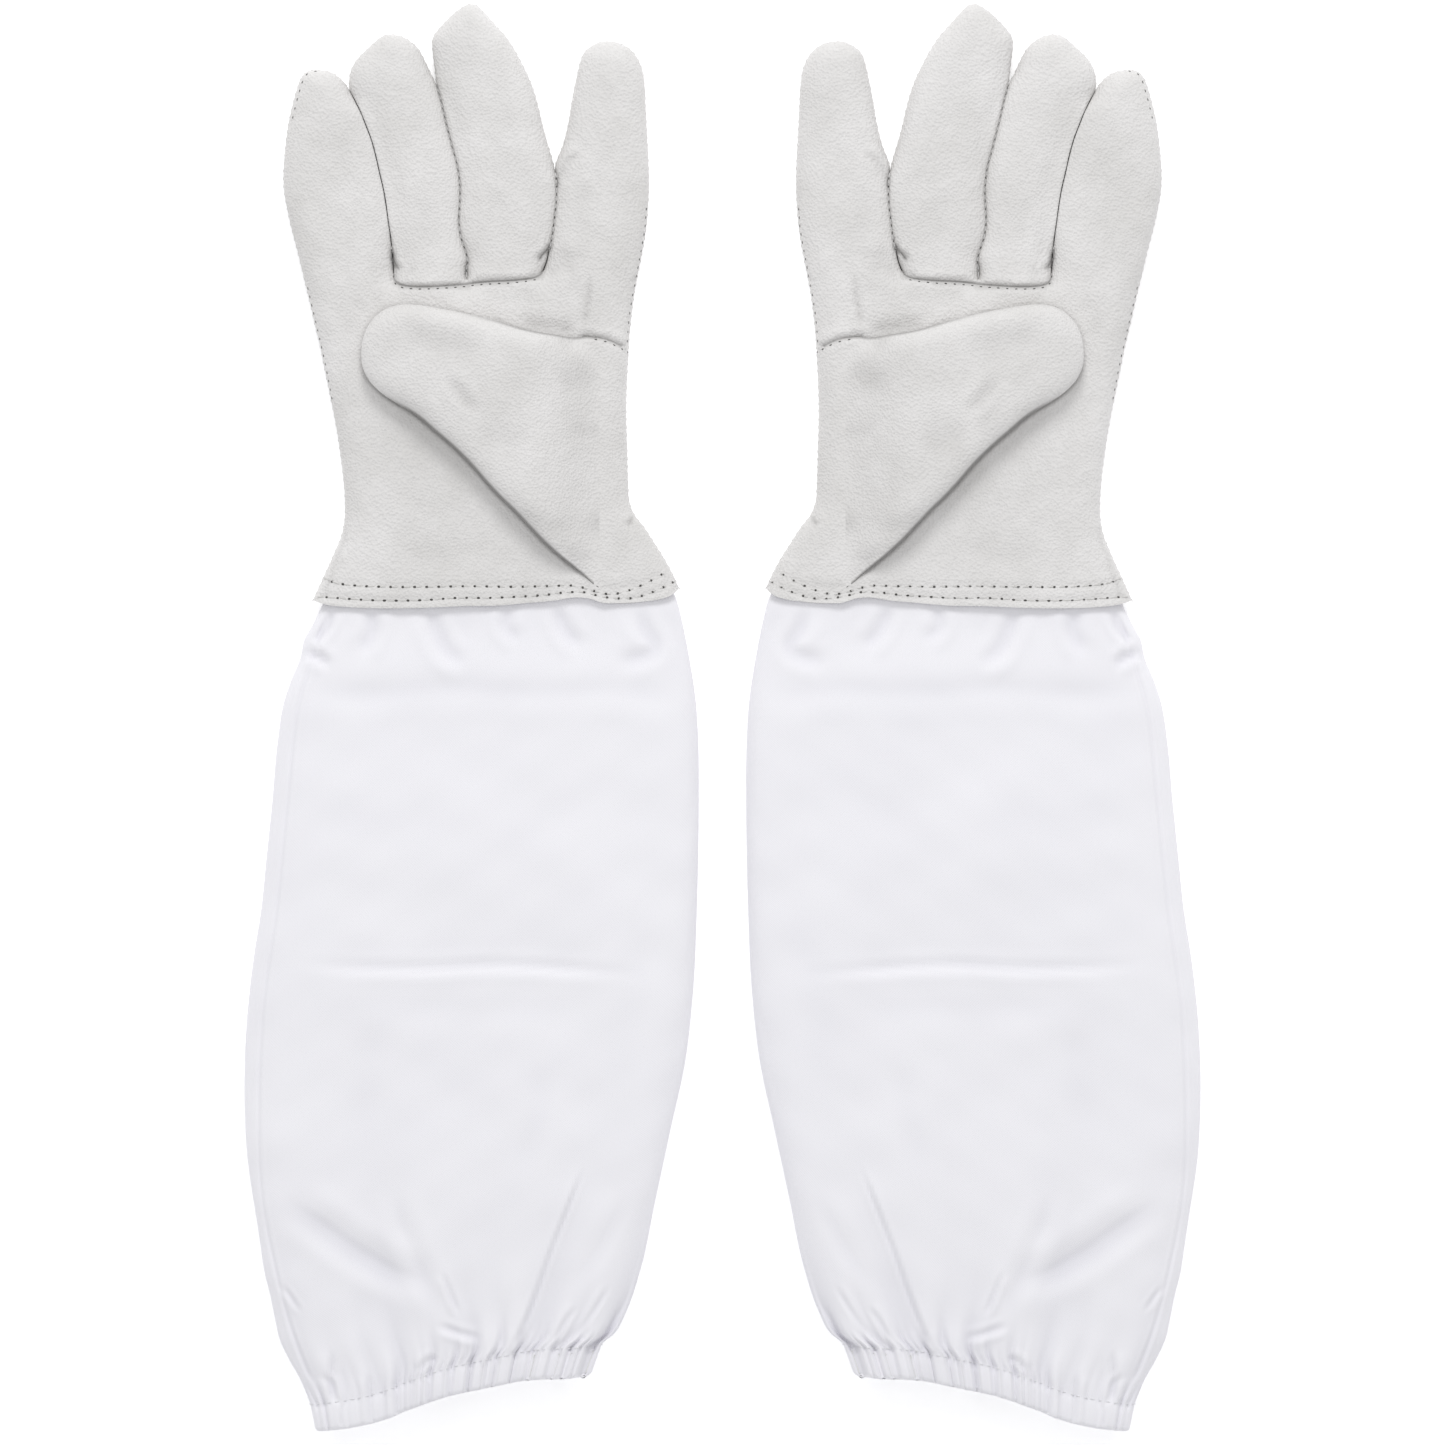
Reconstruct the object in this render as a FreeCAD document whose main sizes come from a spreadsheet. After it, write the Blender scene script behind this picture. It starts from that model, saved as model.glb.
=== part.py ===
"""A pair of beekeeping gloves, lying palm up side by side with the fingers towards +Y.

Each glove is a soft leather hand with a folded-over thumb, and a long canvas sleeve that
ends in an elastic hem. The left glove is built at +X and mirrored to make the right one.
The origin is on the table, midway between the gloves and midway along them. Millimetres.
"""

import FreeCAD, Part
import math
import os
import Sketcher

from FreeCAD import Placement, Rotation, Vector

SIZES = {
    "total_length": 513.0,  # middle fingertip to the lowest corner of the hem
    "glove_clearance": 32.4,  # mid-plane between the gloves to the edge of the index finger
    "leather_wall": 1.2,
    "canvas_wall": 0.8,
    "hand_thickness": 14.0,
    "thumb_thickness": 12.0,
    "flex_gap": 0.6,  # between pieces that turn against each other
    "finger_gap": 1.6,  # between neighbouring fingers
    "index_root": 32.8,
    "middle_root": 27.6,
    "ring_root": 25.3,
    "little_root": 33.1,
    "index_length": 86.4,
    "middle_length": 99.5,
    "ring_length": 89.0,
    "little_length": 76.4,
    "index_inner_lean": -0.10,  # how far a finger's edge leans out per millimetre of length
    "index_outer_lean": -0.12,
    "middle_inner_lean": -0.04,
    "ring_middle_lean": 0.14,
    "little_ring_lean": 0.23,
    "little_outer_lean": 0.15,
    "index_tip_shift": 2.0,
    "middle_tip_shift": 5.0,
    "ring_tip_shift": -2.0,
    "little_tip_shift": -1.0,
    "palm_length": 116.5,  # knuckle line to the edge of the leather cuff
    "wrist_width": 101.8,
    "wrist_shift": -6.3,  # from the middle of the knuckles to the middle of the wrist
    "cuff_width": 132.0,
    "cuff_shift": -9.8,
    "wing_width": 12.0,  # thumb leather that stays flat beside the fold of the thumb
    "wing_drop": 22.0,  # knuckle line to the seam above the thumb
    "thumb_base": 86.0,
    "thumb_length": 84.5,
    "thumb_end_width": 36.0,
    "thumb_rise": 37.0,  # how far the thumb's middle line climbs from its base to its end
    "thumb_hole_length": 62.0,
    "thumb_hole_width": 11.0,
    "sleeve_width": 159.0,
    "sleeve_fold_drop": 130.0,  # cuff to the crease across the sleeve
    "lap_length": 11.0,  # canvas caught under the leather cuff
    "mouth_width": 104.0,
    "mouth_shift": 5.2,  # from the middle of the knuckles to the middle of the mouth
    "mouth_slant": 10.5,  # degrees
    "hem_depth": 11.0,
    "hem_wall": 2.6,
    "elastic_width": 8.0,
    "elastic_wall": 0.8,
    "stitch_length": 2.4,
    "stitch_width": 0.6,
    "stitch_height": 0.4,
    "stitch_pitch": 4.2,
    "cuff_row_spacing": 5.0,
}
FINGERS = ("index", "middle", "ring", "little")
# a finger's stations: share of its length, of its width, of the hand's depth, and of its tip's shift
FINGER_SHAPE = (
    (0.0, 1.0, 1.0, 0.0),
    (0.45, 1.0, 1.0, 0.0),
    (0.78, 0.88, 0.93, 0.7),
    (0.93, 0.62, 0.75, 1.0),
    (1.0, 0.26, 0.4, 1.0),
)
RUN_OUT = 1.0  # how far a hollow runs past an open end
GROOVE_PLAY = 0.1  # on each face of the elastic
MATERIAL_UP, MATERIAL_DOWN, MATERIAL_ROUND = "upper half", "lower half", "whole"


class Dim:
    """A size in millimetres together with the sheet expression that gives it."""

    def __init__(self, text, value):
        self.text, self.value = text, value

    def _join(self, sign, other, value):
        other_text = other.text if isinstance(other, Dim) else f"{other:g}"
        return Dim(f"({self.text} {sign} {other_text})", value)

    def __add__(self, other):
        return self._join("+", other, self.value + number(other))

    def __sub__(self, other):
        return self._join("-", other, self.value - number(other))

    def __mul__(self, other):
        return self._join("*", other, self.value * number(other))

    def __truediv__(self, other):
        return self._join("/", other, self.value / number(other))

    def __neg__(self):
        return Dim(f"(0 - {self.text})", -self.value)


def number(value):
    """The plain number behind a Dim or a number."""
    return value.value if isinstance(value, Dim) else float(value)


def size(name):
    """A driving dimension, by its alias in the sheet."""
    return Dim(f"Sizes.{name}", SIZES[name])


def sine(dim):
    """The sine of a Dim in degrees."""
    return Dim(f"sin({dim.text} * 1 deg)", math.sin(math.radians(dim.value)))


def cosine(dim):
    """The cosine of a Dim in degrees."""
    return Dim(f"cos({dim.text} * 1 deg)", math.cos(math.radians(dim.value)))


def between(low, high, share):
    """The Dim that lies the given share of the way from low to high."""
    return low + (high - low) * share


class Station:
    """One cross-section of a loft: where it lies along the loft, its middle, width and half thickness."""

    def __init__(self, along, middle, width, depth, turn=None):
        self.along, self.middle, self.width, self.depth = along, middle, width, depth
        self.turn = turn

    def inset(self, wall, shift=0.0):
        """The same station a wall's thickness further in, moved along the loft by shift."""
        return Station(self.along + shift, self.middle, self.width - wall * 2, self.depth - wall, self.turn)

    def carried_past(self, neighbour, run):
        """The station run further on from neighbour, on the same ruled surface as the two."""
        share = run / (self.along - neighbour.along)
        if self.turn:
            return Station(self.along + run, self.middle, self.width, self.depth, self.turn)
        return Station(
            self.along + run,
            self.middle + (self.middle - neighbour.middle) * share,
            self.width + (self.width - neighbour.width) * share,
            self.depth,
        )


class Frame:
    """The origin plane that a loft's sections lie parallel to, and the direction it runs in."""

    def __init__(self, role, sign):
        self.role, self.sign = role, sign


ALONG_Y, ALONG_X = Frame("XZ_Plane", -1), Frame("YZ_Plane", 1)


def make_sheet(doc):
    """The driving dimensions as a spreadsheet whose cells hold plain numbers."""
    sheet = doc.addObject("Spreadsheet::Sheet", "Sizes")
    for row, (alias, value) in enumerate(SIZES.items(), start=1):
        sheet.set(f"A{row}", str(value))
        sheet.setAlias(f"A{row}", alias)
    doc.recompute()


def new_body(doc, label):
    """An empty PartDesign body with the given label, which may hold separate solids."""
    body = doc.addObject("PartDesign::Body", label)
    body.Label = label
    body.AllowCompound = True
    return body


def new_sketch(body, name, role, offsets, turn=None):
    """A sketch on one of its body's origin planes, with the plane's offset bound to the sheet.

    offsets holds the three Dims along the plane's own axes. turn is a Dim in degrees
    about the plane's second axis."""
    sketch = body.newObject("Sketcher::SketchObject", name)
    plane = next(f for f in body.Origin.OriginFeatures if f.Role == role)
    sketch.AttachmentSupport = [(plane, "")]
    sketch.MapMode = "FlatFace"
    values = Vector(*(number(o) for o in offsets))
    angle = number(turn) if turn else 0.0
    sketch.AttachmentOffset = Placement(values, Rotation(Vector(0, 1, 0), angle))
    for axis, offset in zip("xyz", offsets):
        if isinstance(offset, Dim):
            sketch.setExpression(f"AttachmentOffset.Base.{axis}", offset.text)
    if turn:
        sketch.setExpression("AttachmentOffset.Rotation.Angle", f"{turn.text} * 1 deg")
    return sketch


def bind(sketch, kind, dim, *where):
    """Adds a dimension constraint to a sketch and binds it to the sheet."""
    index = sketch.addConstraint(Sketcher.Constraint(kind, *where, number(dim)))
    if isinstance(dim, Dim):
        sketch.setExpression(f"Constraints[{index}]", dim.text)


def draw_half_stadium(sketch, width, depth, up):
    """Half of a flat tube's outline: two quarter rounds, a flat, and a base line on the x axis."""
    middle, r = number(width) / 2 - number(depth), number(depth)
    centre_right, centre_left = Vector(middle, 0, 0), Vector(-middle, 0, 0)
    if up:
        right = Part.ArcOfCircle(Part.Circle(centre_right, Vector(0, 0, 1), r), 0, math.pi / 2)
        left = Part.ArcOfCircle(Part.Circle(centre_left, Vector(0, 0, 1), r), math.pi / 2, math.pi)
        ends = ((0, 1), (0, 2), (1, 1), (1, 2))
        level = r
    else:
        right = Part.ArcOfCircle(Part.Circle(centre_right, Vector(0, 0, 1), r), 1.5 * math.pi, 2 * math.pi)
        left = Part.ArcOfCircle(Part.Circle(centre_left, Vector(0, 0, 1), r), math.pi, 1.5 * math.pi)
        ends = ((0, 2), (0, 1), (1, 2), (1, 1))
        level = -r
    flat = Part.LineSegment(Vector(middle, level, 0), Vector(-middle, level, 0))
    base = Part.LineSegment(Vector(-middle - r, 0, 0), Vector(middle + r, 0, 0))
    sketch.addGeometry([right, left, flat, base], False)
    outer_right, inner_right, inner_left, outer_left = ends
    sketch.addConstraint(Sketcher.Constraint("Tangent", *inner_right, 2, 1))
    sketch.addConstraint(Sketcher.Constraint("Tangent", *inner_left, 2, 2))
    sketch.addConstraint(Sketcher.Constraint("Coincident", *outer_left, 3, 1))
    sketch.addConstraint(Sketcher.Constraint("Coincident", *outer_right, 3, 2))
    sketch.addConstraint(Sketcher.Constraint("Symmetric", 0, 3, 1, 3, -1, 1))
    sketch.addConstraint(Sketcher.Constraint("PointOnObject", 0, 3, -1))
    sketch.addConstraint(Sketcher.Constraint("PointOnObject", *outer_left, -1))
    sketch.addConstraint(Sketcher.Constraint("PointOnObject", *outer_right, -1))
    sketch.addConstraint(Sketcher.Constraint("Equal", 0, 1))
    bind(sketch, "Radius", depth, 0)
    bind(sketch, "DistanceX", width - depth * 2, 1, 3, 0, 3)


def draw_stadium(sketch, width, depth):
    """A flat tube's outline: two half rounds joined by two flats, centred on the sketch's origin."""
    middle, r = number(width) / 2 - number(depth), number(depth)
    first = sketch.GeometryCount
    right_circle = Part.Circle(Vector(middle, 0, 0), Vector(0, 0, 1), r)
    left_circle = Part.Circle(Vector(-middle, 0, 0), Vector(0, 0, 1), r)
    sketch.addGeometry(
        [
            Part.ArcOfCircle(right_circle, -math.pi / 2, math.pi / 2),
            Part.LineSegment(Vector(middle, r, 0), Vector(-middle, r, 0)),
            Part.ArcOfCircle(left_circle, math.pi / 2, 1.5 * math.pi),
            Part.LineSegment(Vector(-middle, -r, 0), Vector(middle, -r, 0)),
        ],
        False,
    )
    right, top, left, bottom = first, first + 1, first + 2, first + 3
    sketch.addConstraint(Sketcher.Constraint("Tangent", right, 2, top, 1))
    sketch.addConstraint(Sketcher.Constraint("Tangent", top, 2, left, 1))
    sketch.addConstraint(Sketcher.Constraint("Tangent", left, 2, bottom, 1))
    sketch.addConstraint(Sketcher.Constraint("Tangent", bottom, 2, right, 1))
    sketch.addConstraint(Sketcher.Constraint("Symmetric", right, 3, left, 3, -1, 1))
    sketch.addConstraint(Sketcher.Constraint("PointOnObject", right, 3, -1))
    sketch.addConstraint(Sketcher.Constraint("Equal", right, left))
    bind(sketch, "Radius", depth, right)
    bind(sketch, "DistanceX", width - depth * 2, left, 3, right, 3)


def draw_rectangle(sketch, low_x, low_y, high_x, high_y):
    """A rectangle between two corners that both lie up and right of the sketch's origin."""
    first = sketch.GeometryCount
    x0, y0, x1, y1 = (number(v) for v in (low_x, low_y, high_x, high_y))
    corners = [Vector(x0, y0, 0), Vector(x1, y0, 0), Vector(x1, y1, 0), Vector(x0, y1, 0)]
    edges = [Part.LineSegment(corners[i], corners[(i + 1) % 4]) for i in range(4)]
    sketch.addGeometry(edges, False)
    for i in range(4):
        following = first + (i + 1) % 4
        sketch.addConstraint(Sketcher.Constraint("Coincident", first + i, 2, following, 1))
        direction = "Horizontal" if i % 2 == 0 else "Vertical"
        sketch.addConstraint(Sketcher.Constraint(direction, first + i))
    bind(sketch, "DistanceX", low_x, -1, 1, first, 1)
    bind(sketch, "DistanceY", low_y, -1, 1, first, 1)
    bind(sketch, "DistanceX", high_x, -1, 1, first + 1, 2)
    bind(sketch, "DistanceY", high_y, -1, 1, first + 1, 2)


def section(body, name, frame, station, level, part_of):
    """One section sketch of a loft, at the given height of the loft's middle plane."""
    along = station.along if frame.sign > 0 else -station.along
    sketch = new_sketch(body, name, frame.role, (station.middle, level, along), station.turn)
    if part_of == MATERIAL_ROUND:
        draw_stadium(sketch, station.width, station.depth)
    else:
        draw_half_stadium(sketch, station.width, station.depth, part_of == MATERIAL_UP)
    return sketch


def add_loft(body, kind, name, frame, stations, level, part_of):
    """A ruled loft through the stations, added to or cut from the body."""
    sketches = [
        section(body, f"{body.Name}_{name}{i}", frame, station, level, part_of)
        for i, station in enumerate(stations)
    ]
    loft = body.newObject(kind, f"{body.Name}_{name}")
    loft.Profile = sketches[0]
    loft.Sections = [(sketch, [""]) for sketch in sketches[1:]]
    loft.Ruled = True
    return loft


def make_shell(doc, label, frame, stations, level, wall, part_of, closed_end):
    """A hollow tube, or its upper or lower half, open at its first station.

    closed_end says whether the last station is closed by the wall or open too."""
    body = new_body(doc, label)
    add_loft(body, "PartDesign::AdditiveLoft", "outside", frame, stations, level, part_of)
    forward = 1.0 if number(stations[-1].along) > number(stations[0].along) else -1.0
    hollow = [s.inset(wall) for s in stations]
    hollow[0] = stations[0].carried_past(stations[1], wall * 0 - RUN_OUT * forward).inset(wall)
    if closed_end:
        hollow[-1] = stations[-1].inset(wall, wall * -forward)
    else:
        last = stations[-1].carried_past(stations[-2], wall * 0 + RUN_OUT * forward)
        hollow[-1] = last.inset(wall)
    add_loft(body, "PartDesign::SubtractiveLoft", "hollow", frame, hollow, level, part_of)
    return body


def cut_window(body, name, corners, depth):
    """Cuts a rectangular window up through the body from just under the table."""
    sketch = new_sketch(body, f"{body.Name}_{name}", "XY_Plane", (0.0, 0.0, -RUN_OUT))
    draw_rectangle(sketch, *corners)
    pocket = body.newObject("PartDesign::Pocket", f"{body.Name}_{name}_cut")
    pocket.Profile = sketch
    pocket.setExpression("Length", (depth + 2 * RUN_OUT).text)
    pocket.Reversed = True
    return pocket


def make_stitches(doc, label, rows, spacing_along_x, count, top, turn=None, origin=(0.0, 0.0)):
    """Rows of identical stitches lying on a surface at the height top.

    rows holds the first stitch's low corner in each row, in the pattern's own frame."""
    body = new_body(doc, label)
    sketch = new_sketch(body, f"{label}_outline", "XY_Plane", (0.0, 0.0, top))
    for x, y in rows:
        draw_rectangle(sketch, x, y, x + size("stitch_length"), y + size("stitch_width"))
    pad = body.newObject("PartDesign::Pad", f"{label}_pad")
    pad.Profile = sketch
    pad.setExpression("Length", size("stitch_height").text)
    pattern = body.newObject("PartDesign::LinearPattern", f"{label}_row")
    pattern.Originals = [pad]
    pattern.Direction = (sketch, ["H_Axis"])
    pattern.setExpression("Length", (spacing_along_x * (count - 1)).text)
    pattern.Occurrences = count
    body.Tip = pattern
    if turn:
        x, y = origin
        body.setExpression("Placement.Base.x", x.text)
        body.setExpression("Placement.Base.y", y.text)
        body.Placement = Placement(Vector(x.value, y.value, 0), Rotation(Vector(0, 0, 1), turn.value))
        body.setExpression("Placement.Rotation.Angle", f"{turn.text} * 1 deg")
    return body


def count_that_fits(room):
    """How many stitches of the standard pitch fit in a length."""
    return int(number(room) // SIZES["stitch_pitch"])


class Glove:
    """The places that the glove's pieces share, worked out from the sheet."""

    def __init__(self):
        self.gap = size("flex_gap") / 2
        self.half = size("hand_thickness") / 2
        self.level = self.half
        self.knuckle = size("total_length") / 2 - size("middle_length")
        self.cuff = self.knuckle - size("palm_length")
        self.fold = self.cuff - size("sleeve_fold_drop")
        self.inner_edge = size("glove_clearance")
        self.roots = {}
        edge = self.inner_edge
        for finger in FINGERS:
            self.roots[finger] = (edge, edge + size(f"{finger}_root"))
            edge = self.roots[finger][1]
        self.outer_edge = edge
        self.knuckle_middle = (self.inner_edge + self.outer_edge) / 2
        self.wrist_middle = self.knuckle_middle + size("wrist_shift")
        self.cuff_middle = self.knuckle_middle + size("cuff_shift")
        self.wrist_inner = self.wrist_middle - size("wrist_width") / 2
        self.thumb_fold = self.wrist_inner + size("wing_width")
        self.wing_seam = self.knuckle - size("wing_drop")
        slant = size("mouth_slant")
        self.mouth_middle = self.knuckle_middle + size("mouth_shift")
        self.mouth_low = size("mouth_width") / 2 * sine(slant) - size("total_length") / 2
        self.hem_middle = self.mouth_middle + size("hem_depth") * sine(slant)
        self.hem_top = self.mouth_low + size("hem_depth") * cosine(slant)
        self.hem_turn = -slant

    def finger_stations(self, finger):
        """From the knuckle line to the tip, between the finger's two leaning edges."""
        low, high = self.roots[finger]
        leans = {
            "index": ("index_inner_lean", "index_outer_lean"),
            "middle": ("middle_inner_lean", "ring_middle_lean"),
            "ring": ("ring_middle_lean", "little_ring_lean"),
            "little": ("little_ring_lean", "little_outer_lean"),
        }[finger]
        length = size(f"{finger}_length")
        stations = []
        for along, width, depth, shift in FINGER_SHAPE:
            rise = length * along
            inner = low + rise * size(leans[0]) + size("finger_gap") / 2
            outer = high + rise * size(leans[1]) - size("finger_gap") / 2
            middle = (inner + outer) / 2 + size(f"{finger}_tip_shift") * shift
            at = self.knuckle + (rise if along else self.gap)
            stations.append(Station(at, middle, (outer - inner) * width, self.half * depth))
        return stations

    def hand_stations(self):
        """From the knuckle line down over the wrist to the edge of the leather cuff."""
        knuckle_width = self.outer_edge - self.inner_edge
        wrist, cuff = size("wrist_width"), size("cuff_width")
        rows = (
            (self.knuckle - self.gap, self.knuckle_middle, knuckle_width),
            (
                self.knuckle - size("palm_length") * 0.25,
                between(self.knuckle_middle, self.wrist_middle, 0.4),
                between(knuckle_width, wrist, 0.55),
            ),
            (self.knuckle - size("palm_length") * 0.7, self.wrist_middle, wrist),
            (
                self.knuckle - size("palm_length") * 0.86,
                between(self.wrist_middle, self.cuff_middle, 0.6),
                between(wrist, cuff, 0.6),
            ),
            (self.cuff + self.gap, self.cuff_middle, cuff),
        )
        return [Station(at, middle, width, self.half) for at, middle, width in rows]

    def thumb_stations(self, start):
        """From the fold at the thumb's base, across the palm, to the tip of the thumb."""
        base, end = size("thumb_base"), size("thumb_end_width")
        low = self.wing_seam - base / 2
        high = low + size("thumb_rise")
        half = size("thumb_thickness") / 2
        length = size("thumb_length")
        rows = (
            (start, low, base, 1.0),
            (length * 0.82, high, end, 1.0),
            (length * 0.94, high + end * 0.04, end * 0.72, 0.8),
            (length, high + end * 0.08, end * 0.33, 0.5),
        )
        return [
            Station(self.thumb_fold + along, middle, width, half * depth)
            for along, middle, width, depth in rows
        ]

    def sleeve_middle(self, at):
        """The middle of the sleeve at a height, on the line from the cuff to the hem."""
        share = (self.cuff - at) / (self.cuff - self.hem_top)
        return self.cuff_middle + (self.hem_middle - self.cuff_middle) * share

    def upper_sleeve_stations(self):
        """From the cuff down to the crease across the sleeve."""
        cuff, full = size("cuff_width"), size("sleeve_width")
        stations = []
        for along, share in ((0.0, 0.0), (0.25, 0.6), (0.6, 0.87), (1.0, 1.0)):
            at = self.cuff - size("sleeve_fold_drop") * along
            at = at - self.gap if along == 0.0 else at
            at = at + self.gap if along == 1.0 else at
            stations.append(Station(at, self.sleeve_middle(at), between(cuff, full, share), self.half))
        return stations

    def lower_sleeve_stations(self):
        """From the crease down to the slanting hem."""
        full, mouth = size("sleeve_width"), size("mouth_width")
        stations = []
        for along, share in ((0.0, 0.0), (0.33, 0.06), (0.64, 0.3)):
            at = self.fold + (self.hem_top - self.fold) * along
            at = at - self.gap if along == 0.0 else at
            stations.append(Station(at, self.sleeve_middle(at), between(full, mouth, share), self.half))
        stations.append(Station(self.hem_top, self.hem_middle, mouth, self.half, self.hem_turn))
        return stations


def make_fingers(doc, glove):
    """A palm-side and a back-side half of leather for each of the four fingers."""
    made = []
    for finger in FINGERS:
        for side, part_of in (("front", MATERIAL_UP), ("back", MATERIAL_DOWN)):
            stations = glove.finger_stations(finger)
            label = f"left_{finger}_{side}"
            wall = size("leather_wall")
            made.append(make_shell(doc, label, ALONG_Y, stations, glove.level, wall, part_of, True))
    return made


def make_hand(doc, glove):
    """The palm panel with its thumb hole, the back panel, and the flat wing beside the thumb."""
    wall = size("leather_wall")
    stations = glove.hand_stations()
    depth = size("hand_thickness")
    floor = glove.cuff - size("stitch_length")
    ceiling = glove.knuckle + size("stitch_length")
    beyond = glove.outer_edge + size("cuff_width")

    palm = make_shell(doc, "left_palm_panel", ALONG_Y, stations, glove.level, wall, MATERIAL_UP, False)
    wing_room = (size("stitch_width"), floor, glove.thumb_fold, glove.wing_seam)
    cut_window(palm, "wing_room", wing_room, depth)
    hole_low = glove.wing_seam - size("thumb_base") / 2 - size("thumb_hole_length") / 2
    hole_far = glove.thumb_fold + size("thumb_hole_width")
    hole = (glove.thumb_fold, hole_low, hole_far, hole_low + size("thumb_hole_length"))
    palm.Tip = cut_window(palm, "thumb_hole", hole, depth)

    wing = make_shell(doc, "left_thumb_wing", ALONG_Y, stations, glove.level, wall, MATERIAL_UP, False)
    cut_window(wing, "palm_side", (glove.thumb_fold, floor, beyond, ceiling), depth)
    finger_side = (size("stitch_width"), glove.wing_seam, beyond, ceiling)
    wing.Tip = cut_window(wing, "finger_side", finger_side, depth)

    back = make_shell(doc, "left_back_panel", ALONG_Y, stations, glove.level, wall, MATERIAL_DOWN, False)
    return [palm, wing, back]


def make_thumb(doc, glove):
    """The two halves of the thumb, each starting where the opened thumb clears the hand."""
    half = size("thumb_thickness") / 2
    level = size("hand_thickness") + size("flex_gap") + half
    wall = size("leather_wall")
    front = glove.thumb_stations(half * 1.2)
    back = glove.thumb_stations(half * 0.62)
    return [
        make_shell(doc, "left_thumb_front", ALONG_X, front, level, wall, MATERIAL_UP, True),
        make_shell(doc, "left_thumb_back", ALONG_X, back, level, wall, MATERIAL_DOWN, True),
    ]


def make_sleeve(doc, glove):
    """The canvas sleeve: the lap under the cuff, and its parts above and below the crease."""
    wall = size("canvas_wall")
    above, cuff = glove.hand_stations()[-2:]
    share = size("lap_length") / (above.along - cuff.along)
    lap_top = Station(
        cuff.along + size("lap_length"),
        between(cuff.middle, above.middle, share),
        between(cuff.width, above.width, share),
        glove.half,
    )
    inside_leather = size("leather_wall") + GROOVE_PLAY
    lap = [cuff.inset(inside_leather), lap_top.inset(inside_leather)]
    upper = glove.upper_sleeve_stations()
    lower = glove.lower_sleeve_stations()
    rows = (
        ("left_sleeve_lap", lap),
        ("left_sleeve_upper", upper),
        ("left_sleeve_lower", lower),
    )
    return [
        make_shell(doc, label, ALONG_Y, stations, glove.level, wall, MATERIAL_ROUND, False)
        for label, stations in rows
    ]


def make_hem(doc, glove):
    """The turned-up hem with its closed channel, and the elastic band that runs inside it."""
    width, half = size("mouth_width"), glove.half
    offsets = (glove.hem_middle, glove.level, -glove.hem_top)
    play = size("elastic_wall") + 2 * GROOVE_PLAY
    skin = (size("hem_wall") - play) / 2

    def tube(body, name, outer, inner, start):
        moved = (
            offsets[0] - start * sine(size("mouth_slant")),
            offsets[1],
            offsets[2] + start * cosine(size("mouth_slant")),
        )
        sketch = new_sketch(body, f"{body.Name}_{name}", "XZ_Plane", moved, glove.hem_turn)
        draw_stadium(sketch, width - outer * 2, half - outer)
        draw_stadium(sketch, width - inner * 2, half - inner)
        return sketch

    casing = new_body(doc, "left_hem_casing")
    nothing = size("hem_wall") * 0
    pad = casing.newObject("PartDesign::Pad", "casing_pad")
    pad.Profile = tube(casing, "ring", nothing, size("hem_wall"), nothing)
    pad.setExpression("Length", size("hem_depth").text)
    doc.recompute()
    groove = casing.newObject("PartDesign::Pocket", "casing_channel")
    groove.Profile = tube(casing, "channel", skin, skin + play, nothing)
    depth = size("elastic_width") + 2 * GROOVE_PLAY
    groove.setExpression("Length", depth.text)
    groove.Reversed = True

    elastic = new_body(doc, "left_hem_elastic")
    band = elastic.newObject("PartDesign::Pad", "elastic_pad")
    inside = skin + GROOVE_PLAY
    start = size("elastic_wall") * 0 + GROOVE_PLAY
    band.Profile = tube(elastic, "ring", inside, inside + size("elastic_wall"), start)
    band.setExpression("Length", size("elastic_width").text)
    return [casing, elastic]


def make_threads(doc, glove):
    """The stitches that show: two rows round the cuff, the knuckle and thumb seams, and the hem."""
    top = size("hand_thickness")
    pitch = size("stitch_pitch")
    cuff_start = glove.cuff_middle - size("cuff_width") / 2 + glove.half * 2
    cuff_room = size("cuff_width") - glove.half * 4
    lower_row = glove.cuff + size("stitch_length")
    cuff_rows = ((cuff_start, lower_row), (cuff_start, lower_row + size("cuff_row_spacing")))
    cuff = make_stitches(doc, "left_cuff_stitches", cuff_rows, pitch, count_that_fits(cuff_room), top)

    seam_start, seam_end = glove.roots["middle"][0], glove.roots["ring"][1]
    knuckle_rows = ((seam_start, glove.knuckle - size("stitch_width") * 2),)
    room = seam_end - seam_start
    knuckle = make_stitches(doc, "left_knuckle_stitches", knuckle_rows, pitch, count_that_fits(room), top)

    thumb_start = glove.wrist_inner + glove.half + size("stitch_width")
    thumb_rows = ((thumb_start, glove.wing_seam + size("stitch_width")),)
    spacing = (size("wing_width") - glove.half) / 2 + size("stitch_length")
    thumb = make_stitches(doc, "left_thumb_stitches", thumb_rows, spacing, 2, top)

    hem_rows = ((size("stitch_pitch"), size("stitch_width")),)
    hem_room = size("mouth_width") - glove.half * 2 - size("stitch_pitch") * 2
    count = count_that_fits(hem_room)
    slant = size("mouth_slant")
    reach = size("mouth_width") / 2 - glove.half
    inset = size("stitch_width") * 3
    origin = (
        glove.hem_middle - reach * cosine(slant) - inset * sine(slant),
        glove.hem_top + reach * sine(slant) - inset * cosine(slant),
    )
    hem = make_stitches(doc, "left_hem_stitches", hem_rows, pitch, count, top, -slant, origin)
    return [cuff, knuckle, thumb, hem]


def make_mirror(doc, body):
    """The right glove's copy of one of the left glove's pieces."""
    label = body.Label.replace("left_", "right_", 1)
    copy = doc.addObject("Part::Mirroring", label)
    copy.Label = label
    copy.Source = body
    copy.Base = Vector(0, 0, 0)
    copy.Normal = Vector(1, 0, 0)
    return copy


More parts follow.
